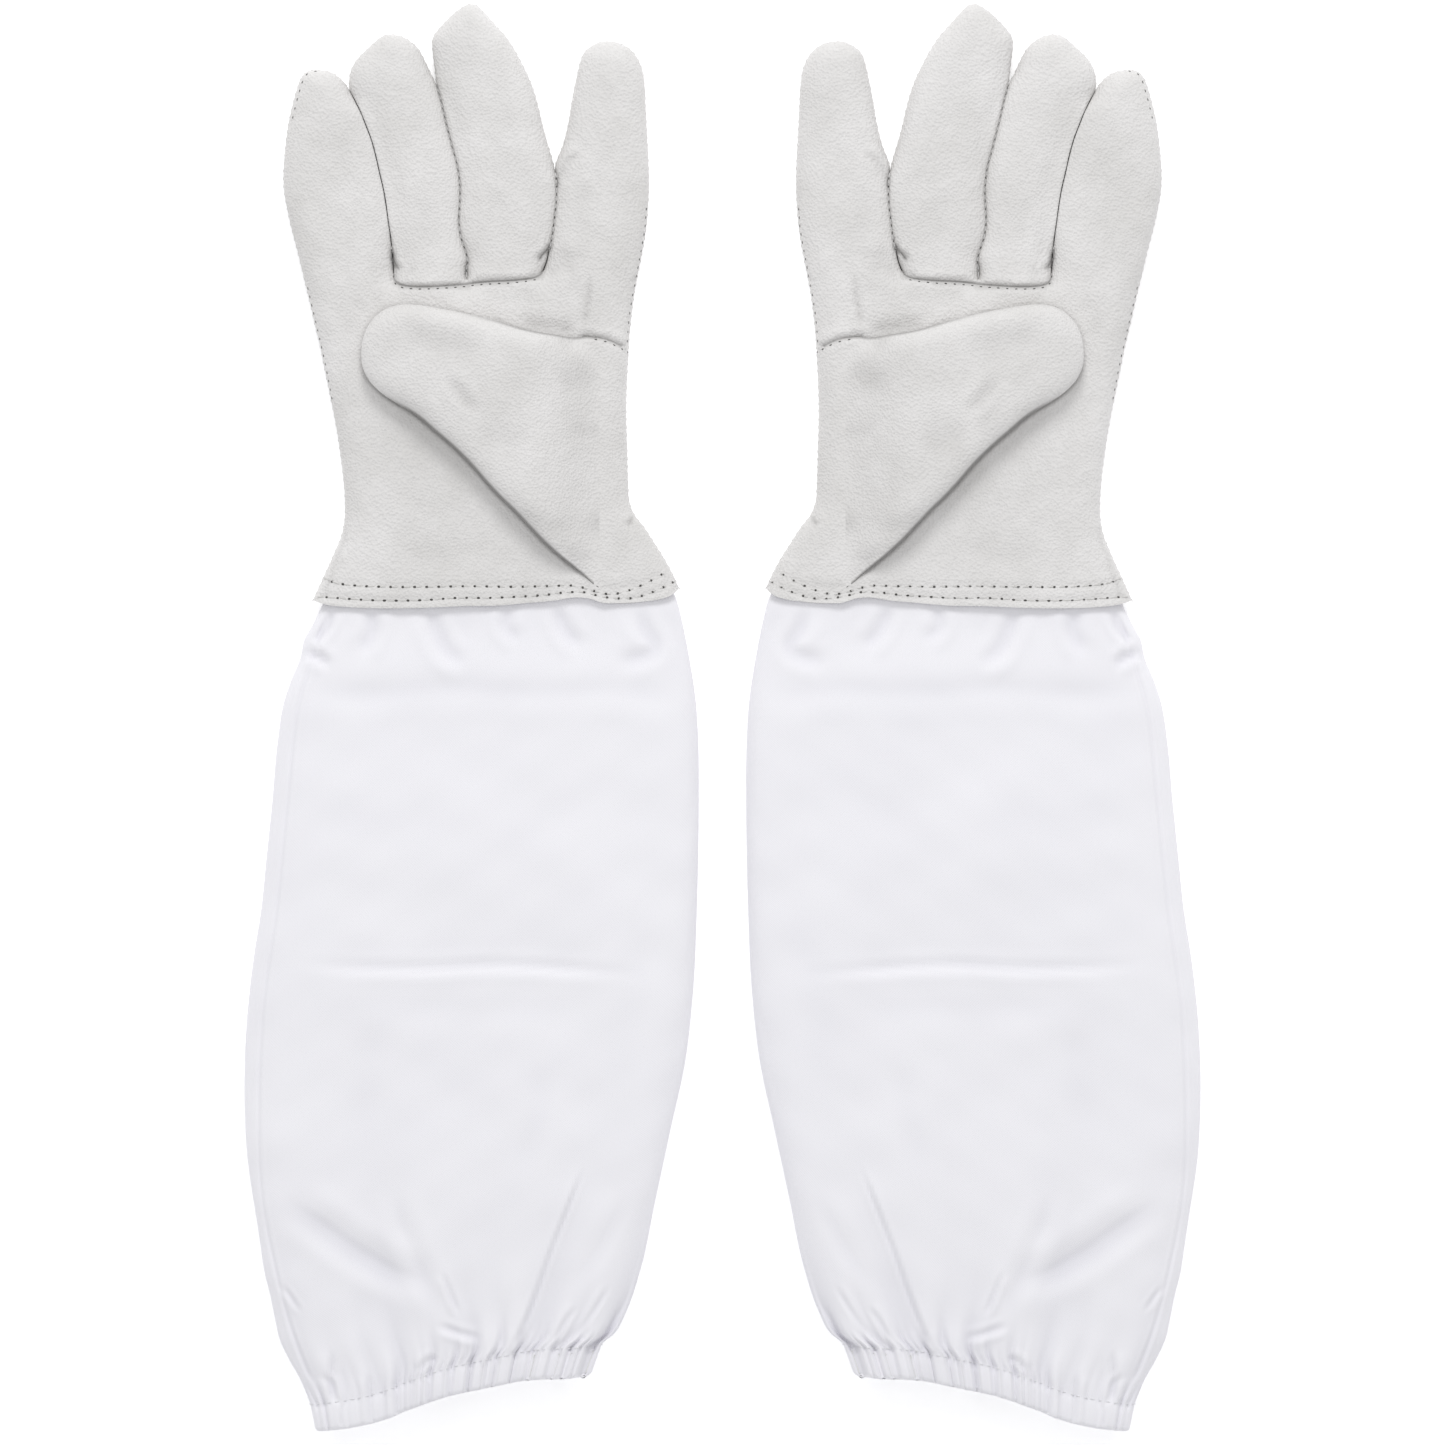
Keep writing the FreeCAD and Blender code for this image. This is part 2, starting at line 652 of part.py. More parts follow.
def check(doc, pieces):
    """Stops if any object failed, or any piece isn't a valid solid."""
    for item in doc.Objects:
        if {"Invalid", "Error"} & set(item.State):
            raise RuntimeError(f"{item.Label} failed: {item.State}")
    for piece in pieces:
        shape = piece.Shape
        if shape.isNull() or not shape.isValid() or not shape.Solids:
            raise RuntimeError(f"{piece.Label} is not a valid solid")


def main():
    """Builds the left glove, mirrors it, checks every piece and writes one STEP file for each."""
    doc = FreeCAD.newDocument("beekeeping_gloves")
    make_sheet(doc)
    glove = Glove()
    left = make_fingers(doc, glove)
    left += make_hand(doc, glove)
    left += make_thumb(doc, glove)
    left += make_sleeve(doc, glove)
    left += make_hem(doc, glove)
    left += make_threads(doc, glove)
    doc.recompute()
    pieces = left + [make_mirror(doc, body) for body in left]
    doc.recompute()
    check(doc, pieces)
    os.makedirs("parts", exist_ok=True)
    for piece in pieces:
        piece.Shape.exportStep(f"parts/{piece.Label}.step")
        solids = len(piece.Shape.Solids)
        print(f"{piece.Label}: {solids} solids, {piece.Shape.Volume:.0f} mm3, {piece.Shape.BoundBox}")


main()
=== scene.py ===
"""Looks for a pair of beekeeping gloves lying palm up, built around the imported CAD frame.

The left glove is modelled at +X and mirrored to make the right one. Each glove is a leather
hand with a folded-over thumb, a canvas sleeve, and a gathered hem with elastic in it. Meshes
are worked out in millimetres and written in metres.
"""

import logging
import math
from collections.abc import Callable, Iterable, Sequence
from dataclasses import dataclass, field
from enum import Enum

import bpy
import numpy as np
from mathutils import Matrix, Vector
from mathutils.bvhtree import BVHTree
from mathutils.geometry import delaunay_2d_cdt


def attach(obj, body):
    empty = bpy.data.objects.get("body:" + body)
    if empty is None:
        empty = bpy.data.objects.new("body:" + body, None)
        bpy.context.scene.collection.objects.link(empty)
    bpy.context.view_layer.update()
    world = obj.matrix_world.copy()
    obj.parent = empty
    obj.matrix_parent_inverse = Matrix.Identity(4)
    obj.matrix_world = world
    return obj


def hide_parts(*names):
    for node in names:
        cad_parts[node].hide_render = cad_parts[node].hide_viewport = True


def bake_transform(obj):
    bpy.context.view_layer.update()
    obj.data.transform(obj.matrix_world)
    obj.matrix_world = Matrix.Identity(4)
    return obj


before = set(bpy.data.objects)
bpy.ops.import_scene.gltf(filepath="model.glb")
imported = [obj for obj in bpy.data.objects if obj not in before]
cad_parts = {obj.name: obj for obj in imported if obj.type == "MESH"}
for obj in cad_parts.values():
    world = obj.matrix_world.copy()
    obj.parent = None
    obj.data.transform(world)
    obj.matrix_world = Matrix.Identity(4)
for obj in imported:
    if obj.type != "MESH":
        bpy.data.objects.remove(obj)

MM = 0.001
Points = Sequence[tuple[float, float]]
log = logging.getLogger("gloves")


class Side(Enum):
    """The two gloves, and the direction along X in which each lies."""

    LEFT = "left"
    RIGHT = "right"

    @property
    def mirrored(self) -> bool:
        """Whether this glove is the mirrored copy."""
        return self is Side.RIGHT


class Face(Enum):
    """The two faces of a glove as it lies."""

    PALM = 1.0
    BACK = -1.0


# ---------------------------------------------------------------- curves and fields


def ease(value: np.ndarray | float) -> np.ndarray:
    """A smooth step from 0 to 1 over the same range."""
    t = np.clip(value, 0.0, 1.0)
    return t * t * (3.0 - 2.0 * t)


def rounded(share: np.ndarray, power: float = 2.4) -> np.ndarray:
    """The rise of a soft edge: upright at 0, level at 1.

    Args:
        share: Distance from the edge as a share of the edge's reach.
        power: How square the edge is; 2 is a quarter of an ellipse.

    Returns:
        Heights from 0 to 1.
    """
    return (1.0 - (1.0 - np.clip(share, 0.0, 1.0)) ** power) ** (1.0 / power)


def smooth_line(points: Points, step: float) -> np.ndarray:
    """A smooth curve through the points, sampled evenly.

    Args:
        points: Two or more points that the curve passes through.
        step: Spacing of the samples.

    Returns:
        The samples, first and last point included.
    """
    p = np.asarray(points, float)
    t = np.r_[0.0, np.cumsum(np.linalg.norm(np.diff(p, axis=0), axis=1))]
    slope = np.gradient(p, t, axis=0)
    fine = np.linspace(0.0, t[-1], max(8, int(t[-1] / step) * 4))
    k = np.clip(np.searchsorted(t, fine, side="right") - 1, 0, len(t) - 2)
    span = (t[k + 1] - t[k])[:, None]
    u = (fine - t[k])[:, None] / span
    curve = (
        (2 * u**3 - 3 * u**2 + 1) * p[k]
        + (u**3 - 2 * u**2 + u) * span * slope[k]
        + (3 * u**2 - 2 * u**3) * p[k + 1]
        + (u**3 - u**2) * span * slope[k + 1]
    )
    along = np.r_[0.0, np.cumsum(np.linalg.norm(np.diff(curve, axis=0), axis=1))]
    even = np.linspace(0.0, along[-1], max(2, round(along[-1] / step) + 1))
    return np.column_stack([np.interp(even, along, curve[:, i]) for i in range(p.shape[1])])


def nearest(xy: np.ndarray, line: np.ndarray) -> tuple[np.ndarray, np.ndarray, np.ndarray]:
    """Where points lie beside a line.

    Args:
        xy: Points, one per row.
        line: The line's points, one per row.

    Returns:
        The distance to the line, the share of the line's length at the nearest place, and
        the side: 1 to the left of the line's direction, -1 to its right.
    """
    a, d = line[:-1], np.diff(line, axis=0)
    length = np.linalg.norm(d, axis=1)
    start = np.r_[0.0, np.cumsum(length)]
    distance, share, side = np.empty(len(xy)), np.empty(len(xy)), np.empty(len(xy))
    for low in range(0, len(xy), 4000):
        rel = xy[low : low + 4000, None, :] - a[None]
        u = np.clip((rel * d).sum(2) / np.maximum(length**2, 1e-12), 0.0, 1.0)
        off = rel - u[..., None] * d
        gap = np.einsum("ijk,ijk->ij", off, off)
        best = gap.argmin(1)
        rows = np.arange(len(best))
        cross = d[best, 0] * off[rows, best, 1] - d[best, 1] * off[rows, best, 0]
        distance[low : low + 4000] = np.sqrt(gap[rows, best])
        share[low : low + 4000] = (start[best] + u[rows, best] * length[best]) / start[-1]
        side[low : low + 4000] = np.where(cross >= 0, 1.0, -1.0)
    return distance, share, side


@dataclass(frozen=True)
class Ripple:
    """Gentle unevenness made of a few crossing waves.

    The waves have fixed directions, so it is the same in every run."""

    height: float
    wave: float
    seed: int = 1

    def at(self, xy: np.ndarray) -> np.ndarray:
        """Heights at points, about between -height and height.

        Args:
            xy: The points to look at, in X and Y.

        Returns:
            The height of the waves at each point.
        """
        rng = np.random.default_rng(self.seed)
        total = np.zeros(len(xy))
        for _ in range(7):
            angle, phase = rng.uniform(0, 2 * math.pi, 2)
            wave = self.wave * rng.uniform(0.6, 1.7)
            direction = np.array([math.cos(angle), math.sin(angle)])
            total += np.sin(xy @ direction * (2 * math.pi / wave) + phase)
        return self.height * total / 3.5


@dataclass(frozen=True)
class Crease:
    """A fold line pressed into leather or cloth.

    depth is how far it sinks at the line, width how far out it reaches, lip how much the
    material rises beside it as a share of depth, step raises the left of the line
    over its right, and sharp asks for a finer mesh along it."""

    path: Points
    depth: float
    width: float
    lip: float = 0.3
    step: float = 0.0
    taper: float = 0.3
    sharp: bool = False

    def at(self, xy: np.ndarray) -> np.ndarray:
        """The change of height at points.

        Args:
            xy: The points to look at, in X and Y.

        Returns:
            The change of height at each point.
        """
        distance, share, side = nearest(xy, smooth_line(self.path, 1.0))
        fade = ease(share / self.taper) * ease((1.0 - share) / self.taper)
        r = distance / self.width
        bump = -self.depth * np.exp(-(r**2)) + self.lip * self.depth * np.exp(-((r - 2.2) ** 2))
        over = self.step * side * np.exp(-np.maximum(r - 1.0, 0.0) ** 2 / 16.0)
        return fade * (bump + over * ease(r))


def total_of(creases: Iterable[Crease], xy: np.ndarray) -> np.ndarray:
    """The sum of several creases' changes of height at points.

    Args:
        creases: The creases to add up.
        xy: The points to look at, in X and Y.

    Returns:
        The summed change of height at each point.
    """
    total = np.zeros(len(xy))
    for crease in creases:
        path = np.asarray(crease.path)
        reach = crease.width * (10.0 if crease.step else 5.0)
        near = ((xy > path.min(0) - reach) & (xy < path.max(0) + reach)).all(1)
        if near.any():
            total[near] += crease.at(xy[near])
    return total


def beside(line: np.ndarray, gap: float) -> np.ndarray:
    """The line moved sideways, to the left of its direction where gap is positive.

    Args:
        line: The points of the line, in order.
        gap: How far to move it.

    Returns:
        The moved line, with as many points.
    """
    ahead = np.gradient(line, axis=0)
    ahead /= np.linalg.norm(ahead, axis=1, keepdims=True)
    return line + gap * np.column_stack([-ahead[:, 1], ahead[:, 0]])


# ---------------------------------------------------------------- skins


@dataclass
class Skin:
    """A sheet of triangles in millimetres, its vertex normals and its texture places."""

    points: np.ndarray
    faces: np.ndarray
    normals: np.ndarray | None = None
    # tone is painted shade, from 0 to 1, that darkens the colour in creases and along edges
    tone: np.ndarray | None = None
    weave: np.ndarray | None = None
    rim_faces: int = 0

    def face_normals(self) -> np.ndarray:
        """Unscaled face normals, twice each face's area long."""
        a, b, c = (self.points[self.faces[:, i]] for i in range(3))
        return np.cross(b - a, c - a)

    def with_normals(self) -> "Skin":
        """The skin with smooth vertex normals worked out from all of its faces.

        Returns:
            The same skin, now with normals.
        """
        out = np.zeros_like(self.points)
        each = self.face_normals()
        for i in range(3):
            np.add.at(out, self.faces[:, i], each)
        self.normals = out / np.maximum(np.linalg.norm(out, axis=1, keepdims=True), 1e-12)
        return self

    def part(self, keep: np.ndarray) -> "Skin":
        """The faces marked in keep, with only their own vertices.

        Args:
            keep: True for each face that stays.

        Returns:
            A new skin of those faces.
        """
        faces = self.faces[keep]
        used = np.unique(faces)
        index = np.full(len(self.points), -1)
        index[used] = np.arange(len(used))
        rest = [None if v is None else v[used] for v in (self.normals, self.tone, self.weave)]
        return Skin(self.points[used], index[faces], *rest)

    def mirrored(self) -> "Skin":
        """The skin reflected in the plane between the gloves, faces still outwards.

        Returns:
            The reflected skin.
        """
        flip = np.array([-1.0, 1.0, 1.0])
        normals = None if self.normals is None else self.normals * flip
        return Skin(self.points * flip, self.faces[:, ::-1].copy(), normals, self.tone, self.weave, self.rim_faces)

    def tree(self) -> BVHTree:
        """A search tree for finding the surface."""
        return BVHTree.FromPolygons(self.points.tolist(), self.faces.tolist())

    def thickened(self, wall: float) -> "Skin":
        """The skin with an inner face a wall's thickness inside, and rims that join the two.

        Args:
            wall: The wall's thickness.

        Returns:
            A closed skin with a wall.
        """
        count = len(self.points)
        inner = self.points - self.normals * wall
        edges = self.faces[:, [0, 1, 1, 2, 2, 0]].reshape(-1, 2)
        keys = np.sort(edges, axis=1)
        _, first, times = np.unique(keys, axis=0, return_index=True, return_counts=True)
        rim = edges[first[times == 1]]
        b, a = rim[:, 0], rim[:, 1]
        sides = np.vstack([np.column_stack([a, b, b + count]), np.column_stack([a, b + count, a + count])])
        faces = np.vstack([self.faces, self.faces[:, ::-1] + count, sides])
        normals = np.vstack([self.normals, -self.normals])
        twice = [None if v is None else np.concatenate([v, v]) for v in (self.tone, self.weave)]
        return Skin(np.vstack([self.points, inner]), faces, normals, *twice, rim_faces=len(sides))

    def to_object(self, name: str, side: Side, finish: bpy.types.Material) -> bpy.types.Object:
        """An object of this skin, for one glove of the pair.

        Args:
            name: The piece's name without its glove.
            side: The glove that it belongs to.
            finish: Its material.

        Returns:
            The object, at the origin, with its place in its mesh.
        """
        rims = self.rim_faces
        skin = self.mirrored() if side.mirrored else self
        mesh = bpy.data.meshes.new(f"{side.value}_{name}")
        mesh.from_pydata((skin.points * MM).tolist(), [], skin.faces.tolist())
        mesh.shade_smooth()
        loops = skin.faces.reshape(-1)
        if skin.normals is not None:
            normals = skin.normals[loops].copy()
            if rims:
                flat = skin.face_normals()[-rims:]
                flat /= np.maximum(np.linalg.norm(flat, axis=1, keepdims=True), 1e-12)
                normals[-rims * 3 :] = np.repeat(flat, 3, axis=0)
            mesh.normals_split_custom_set(normals.tolist())
        # the painted shade goes on each vertex, for the materials to darken the colour with
        if skin.tone is not None:
            tone = mesh.attributes.new("crease_tone", "FLOAT", "POINT")
            tone.data.foreach_set("value", skin.tone.astype(np.float32))
        if skin.weave is not None:
            layer = mesh.uv_layers.new(name="weave")
            layer.data.foreach_set("uv", (skin.weave[loops] * MM).astype(np.float32).reshape(-1))
        mesh.materials.append(finish)
        made = bpy.data.objects.new(f"{side.value}_{name}", mesh)
        bpy.context.scene.collection.objects.link(made)
        return made


EDGE_RINGS = (0.12, 0.45, 1.0, 1.8, 2.9)  # how far inside an outline its rings of points lie
RING_CLEARANCE = 3.6  # from an outline to the even grid of points inside it
CUT_CLEARANCE = 0.6  # from a line that edges follow to any other point


def fill_outline(outline: np.ndarray, cuts: Sequence[np.ndarray], step: float) -> tuple[np.ndarray, np.ndarray]:
    """Triangles inside a closed outline, finer beside it.

    Args:
        outline: The outline's points in order, first not repeated.
        cuts: Lines inside the outline that edges must follow.
        step: Spacing of the points well inside.

    Returns:
        Points, and triangles that wind anticlockwise.
    """
    ahead, behind = np.roll(outline, -1, 0), np.roll(outline, 1, 0)
    tangent = ahead - behind
    tangent /= np.maximum(np.linalg.norm(tangent, axis=1, keepdims=True), 1e-9)
    area = (outline[:, 0] * ahead[:, 1] - ahead[:, 0] * outline[:, 1]).sum()
    inward = np.column_stack([-tangent[:, 1], tangent[:, 0]]) * (1.0 if area > 0 else -1.0)
    closed = np.vstack([outline, outline[:1]])
    kept = []
    for depth in EDGE_RINGS:
        ring = outline + inward * depth
        gap, _, _ = nearest(ring, closed)
        kept.append(ring[gap > 0.93 * depth])
    low, high = outline.min(0), outline.max(0)
    gx, gy = np.meshgrid(np.arange(low[0], high[0], step), np.arange(low[1], high[1], step * 0.87))
    gx[1::2] += step / 2
    grid = np.column_stack([gx.ravel(), gy.ravel()])
    gap, _, _ = nearest(grid, closed)
    grid = grid[gap > RING_CLEARANCE]
    inner = np.vstack(kept + [grid])
    for cut in cuts:
        gap, _, _ = nearest(inner, cut)
        inner = inner[gap > CUT_CLEARANCE]
    count = len(outline)
    edges = [(i, (i + 1) % count) for i in range(count)]
    points = [outline]
    start = count
    for cut in cuts:
        points.append(cut)
        edges += [(start + i, start + i + 1) for i in range(len(cut) - 1)]
        start += len(cut)
    points = np.vstack(points + [inner])
    found = delaunay_2d_cdt([Vector(p) for p in points], edges, [], 1, 1e-5)
    xy = np.array([tuple(v) for v in found[0]])
    faces = np.array(found[2])
    a, b, c = (xy[faces[:, i]] for i in range(3))
    turn = (b[:, 0] - a[:, 0]) * (c[:, 1] - a[:, 1]) - (b[:, 1] - a[:, 1]) * (c[:, 0] - a[:, 0])
    faces[turn < 0] = faces[turn < 0][:, ::-1]
    return xy, faces[np.abs(turn) > 1e-9]


# ---------------------------------------------------------------- finishes


def shader(name: str) -> tuple[bpy.types.Material, bpy.types.Node, Callable[..., bpy.types.Node]]:
    """Starts a material.

    Args:
        name: The material's name.

    Returns:
        The material, its main shader node, and a function that adds nodes to it.
    """
    material = bpy.data.materials.new(name)
    material.use_nodes = True
    nodes, links = material.node_tree.nodes, material.node_tree.links

    def add(kind: str, settings: dict | None = None, **inputs: object) -> bpy.types.Node:
        """Adds a node.

        Args:
            kind: The node's type name.
            settings: Values for the node's own options.
            **inputs: A value or a socket for each input, by its name or as _0, _1 by its place.

        Returns:
            The node.
        """
        node = nodes.new(kind)
        for key, value in (settings or {}).items():
            setattr(node, key, value)
        for key, value in inputs.items():
            socket = node.inputs[int(key[1:]) if key[1:].isdigit() else key.replace("_", " ")]
            if isinstance(value, bpy.types.NodeSocket):
                links.new(value, socket)
            else:
                socket.default_value = value
        return node

    return material, nodes["Principled BSDF"], add


@dataclass(frozen=True)
class LeatherFinish:
    """Soft undyed goatskin: fine pebbled grain, faint mottling, matt."""

    light: tuple[float, float, float] = (0.775, 0.762, 0.753)
    dark: tuple[float, float, float] = (0.66, 0.648, 0.632)
    grain: float = 1050.0
    roughness: float = 0.68

    def make(self) -> bpy.types.Material:
        """Builds the material.

        Returns:
            The finished material.
        """
        material, surface, add = shader("goatskin")
        place = add("ShaderNodeTexCoord").outputs["Object"]
        mottle = add("ShaderNodeTexNoise", Vector=place, Scale=38.0, Detail=4.0, Roughness=0.6)
        fine = add("ShaderNodeTexNoise", Vector=place, Scale=760.0, Detail=3.0, Roughness=0.6)
        pebble = add(
            "ShaderNodeTexVoronoi", {"feature": "SMOOTH_F1"}, Vector=place, Scale=self.grain, Smoothness=0.35
        )
        blend = add("ShaderNodeMath", {"operation": "MULTIPLY_ADD"}, _0=fine.outputs["Fac"], _1=0.2)
        material.node_tree.links.new(mottle.outputs["Fac"], blend.inputs[2])
        ramp = add("ShaderNodeMapRange", Value=blend.outputs[0], From_Min=0.34, From_Max=0.86)
        colour = add("ShaderNodeMix", {"data_type": "RGBA"}, _0=ramp.outputs[0])
        colour.inputs[6].default_value = (*self.light, 1.0)
        colour.inputs[7].default_value = (*self.dark, 1.0)
        # Painted shade: a vertex attribute darkens the colour in the creases and seams and along the folded thumb's
        # edges.
        tone = add("ShaderNodeAttribute", {"attribute_name": "crease_tone"})
        darkened_by_painted_shade = add("ShaderNodeMix", {"data_type": "RGBA", "blend_type": "MULTIPLY"}, _0=tone.outputs["Fac"])
        material.node_tree.links.new(colour.outputs[2], darkened_by_painted_shade.inputs[6])
        darkened_by_painted_shade.inputs[7].default_value = (0.2, 0.195, 0.19, 1.0)
        material.node_tree.links.new(darkened_by_painted_shade.outputs[2], surface.inputs["Base Color"])
        stretch = add("ShaderNodeMapping", Vector=place)
        stretch.inputs["Scale"].default_value = (1.0, 0.35, 1.0)
        wrinkle = add(
            "ShaderNodeTexNoise", Vector=stretch.outputs[0], Scale=330.0, Detail=5.0, Roughness=0.65, Distortion=0.6
        )
        broad = add("ShaderNodeBump", Height=wrinkle.outputs["Fac"], Strength=0.1, Distance=0.0005)
        bump = add(
            "ShaderNodeBump",
            Height=pebble.outputs["Distance"],
            Strength=0.68,
            Distance=0.0005,
            Normal=broad.outputs[0],
        )
        material.node_tree.links.new(bump.outputs[0], surface.inputs["Normal"])
        surface.inputs["Roughness"].default_value = self.roughness
        surface.inputs["Specular IOR Level"].default_value = 0.32
        surface.inputs["Sheen Weight"].default_value = 0.12
        return material


@dataclass(frozen=True)
class CanvasFinish:
    """Bleached plain-woven cotton: crossing threads, slubs, no shine."""

    light: tuple[float, float, float] = (0.885, 0.878, 0.905)
    dark: tuple[float, float, float] = (0.84, 0.832, 0.868)
    thread: float = 0.00048

    def make(self) -> bpy.types.Material:
        """Builds the material.

        Returns:
            The finished material.
        """
        material, surface, add = shader("cotton_canvas")
        links = material.node_tree.links
        place = add("ShaderNodeUVMap", {"uv_map": "weave"}).outputs[0]
        split = add("ShaderNodeSeparateXYZ", Vector=place)
        turns = 2.0 * math.pi / (2.0 * self.thread)
        waves = []
        for axis in (0, 1):
            angle = add("ShaderNodeMath", {"operation": "MULTIPLY"}, _0=split.outputs[axis], _1=turns)
            waves.append(add("ShaderNodeMath", {"operation": "SINE"}, _0=angle.outputs[0]))
        weave = add("ShaderNodeMath", {"operation": "MULTIPLY"}, _0=waves[0].outputs[0], _1=waves[1].outputs[0])
        stretch = add("ShaderNodeMapping", Vector=place)
        stretch.inputs["Scale"].default_value = (900.0, 60.0, 1.0)
        slub = add("ShaderNodeTexNoise", Vector=stretch.outputs[0], Scale=1.0, Detail=3.0)
        mixed = add("ShaderNodeMath", {"operation": "MULTIPLY_ADD"}, _0=slub.outputs["Fac"], _1=1.6)
        links.new(weave.outputs[0], mixed.inputs[2])
        cloud = add("ShaderNodeTexNoise", Vector=add("ShaderNodeTexCoord").outputs["Object"], Scale=24.0, Detail=3.0)
        colour = add("ShaderNodeMix", {"data_type": "RGBA"}, _0=cloud.outputs["Fac"])
        colour.inputs[6].default_value = (*self.light, 1.0)
        colour.inputs[7].default_value = (*self.dark, 1.0)
        # Painted shade: a vertex attribute darkens the colour in the creases and the gathers.
        tone = add("ShaderNodeAttribute", {"attribute_name": "crease_tone"})
        darkened_by_painted_shade = add("ShaderNodeMix", {"data_type": "RGBA", "blend_type": "MULTIPLY"}, _0=tone.outputs["Fac"])
        links.new(colour.outputs[2], darkened_by_painted_shade.inputs[6])
        darkened_by_painted_shade.inputs[7].default_value = (0.76, 0.76, 0.80, 1.0)
        links.new(darkened_by_painted_shade.outputs[2], surface.inputs["Base Color"])
        bump = add("ShaderNodeBump", Height=mixed.outputs[0], Strength=0.25, Distance=0.00008)
        links.new(bump.outputs[0], surface.inputs["Normal"])
        surface.inputs["Roughness"].default_value = 0.92
        surface.inputs["Specular IOR Level"].default_value = 0.2
        surface.inputs["Sheen Weight"].default_value = 0.1
        return material


@dataclass(frozen=True)
class ThreadFinish:
    """Sewing thread, with the twist of its plies along it."""

    name: str
    colour: tuple[float, float, float]
    twist: float = 2600.0

    def make(self) -> bpy.types.Material:
        """Builds the material.

        Returns:
            The finished material.
        """
        material, surface, add = shader(self.name)
        place = add("ShaderNodeTexCoord").outputs["Object"]
        ply = add(
            "ShaderNodeTexWave",
            {"wave_type": "BANDS", "bands_direction": "DIAGONAL"},
            Vector=place,
            Scale=self.twist,
            Distortion=1.5,
        )
        colour = add("ShaderNodeMix", {"data_type": "RGBA"}, _0=ply.outputs["Fac"])
        colour.inputs[6].default_value = (*(c * 0.8 for c in self.colour), 1.0)
        colour.inputs[7].default_value = (*self.colour, 1.0)
        material.node_tree.links.new(colour.outputs[2], surface.inputs["Base Color"])
        bump = add("ShaderNodeBump", Height=ply.outputs["Fac"], Strength=0.5, Distance=0.0001)
        material.node_tree.links.new(bump.outputs[0], surface.inputs["Normal"])
        surface.inputs["Roughness"].default_value = 0.6
        return material


@dataclass(frozen=True)
class FloorFinish:
    """The pale table under the gloves, very slightly uneven in tone."""

    colour: tuple[float, float, float] = (0.96, 0.96, 0.965)

    def make(self) -> bpy.types.Material:
        """Builds the material.

        Returns:
            The finished material.
        """
        material, surface, add = shader("pale_table")
        place = add("ShaderNodeTexCoord").outputs["Object"]
        cloud = add("ShaderNodeTexNoise", Vector=place, Scale=3.0)
        colour = add("ShaderNodeMix", {"data_type": "RGBA"}, _0=cloud.outputs["Fac"])
        colour.inputs[6].default_value = (*self.colour, 1.0)
        colour.inputs[7].default_value = (*(c * 0.99 for c in self.colour), 1.0)
        material.node_tree.links.new(colour.outputs[2], surface.inputs["Base Color"])
        surface.inputs["Roughness"].default_value = 0.9
        surface.inputs["Emission Color"].default_value = (1.0, 1.0, 1.0, 1.0)
        surface.inputs["Emission Strength"].default_value = 0.32
        return material


@dataclass
class Finishes:
    """Every material, made once."""

    leather: bpy.types.Material = field(default_factory=lambda: LeatherFinish().make())
    canvas: bpy.types.Material = field(default_factory=lambda: CanvasFinish().make())
    seam_thread: bpy.types.Material = field(
        default_factory=lambda: ThreadFinish("pale_thread", (0.70, 0.69, 0.67)).make()
    )
    canvas_thread: bpy.types.Material = field(
        default_factory=lambda: ThreadFinish("white_thread", (0.86, 0.86, 0.88)).make()
    )
    # near-black beads: painted shade standing for the needle holes, which the mesh does not cut
    needle_hole: bpy.types.Material = field(
        default_factory=lambda: ThreadFinish("needle_hole", (0.07, 0.065, 0.06)).make()
    )
    elastic: bpy.types.Material = field(
        default_factory=lambda: ThreadFinish("elastic_cover", (0.84, 0.84, 0.83), 1500.0).make()
    )


# ---------------------------------------------------------------- stitches


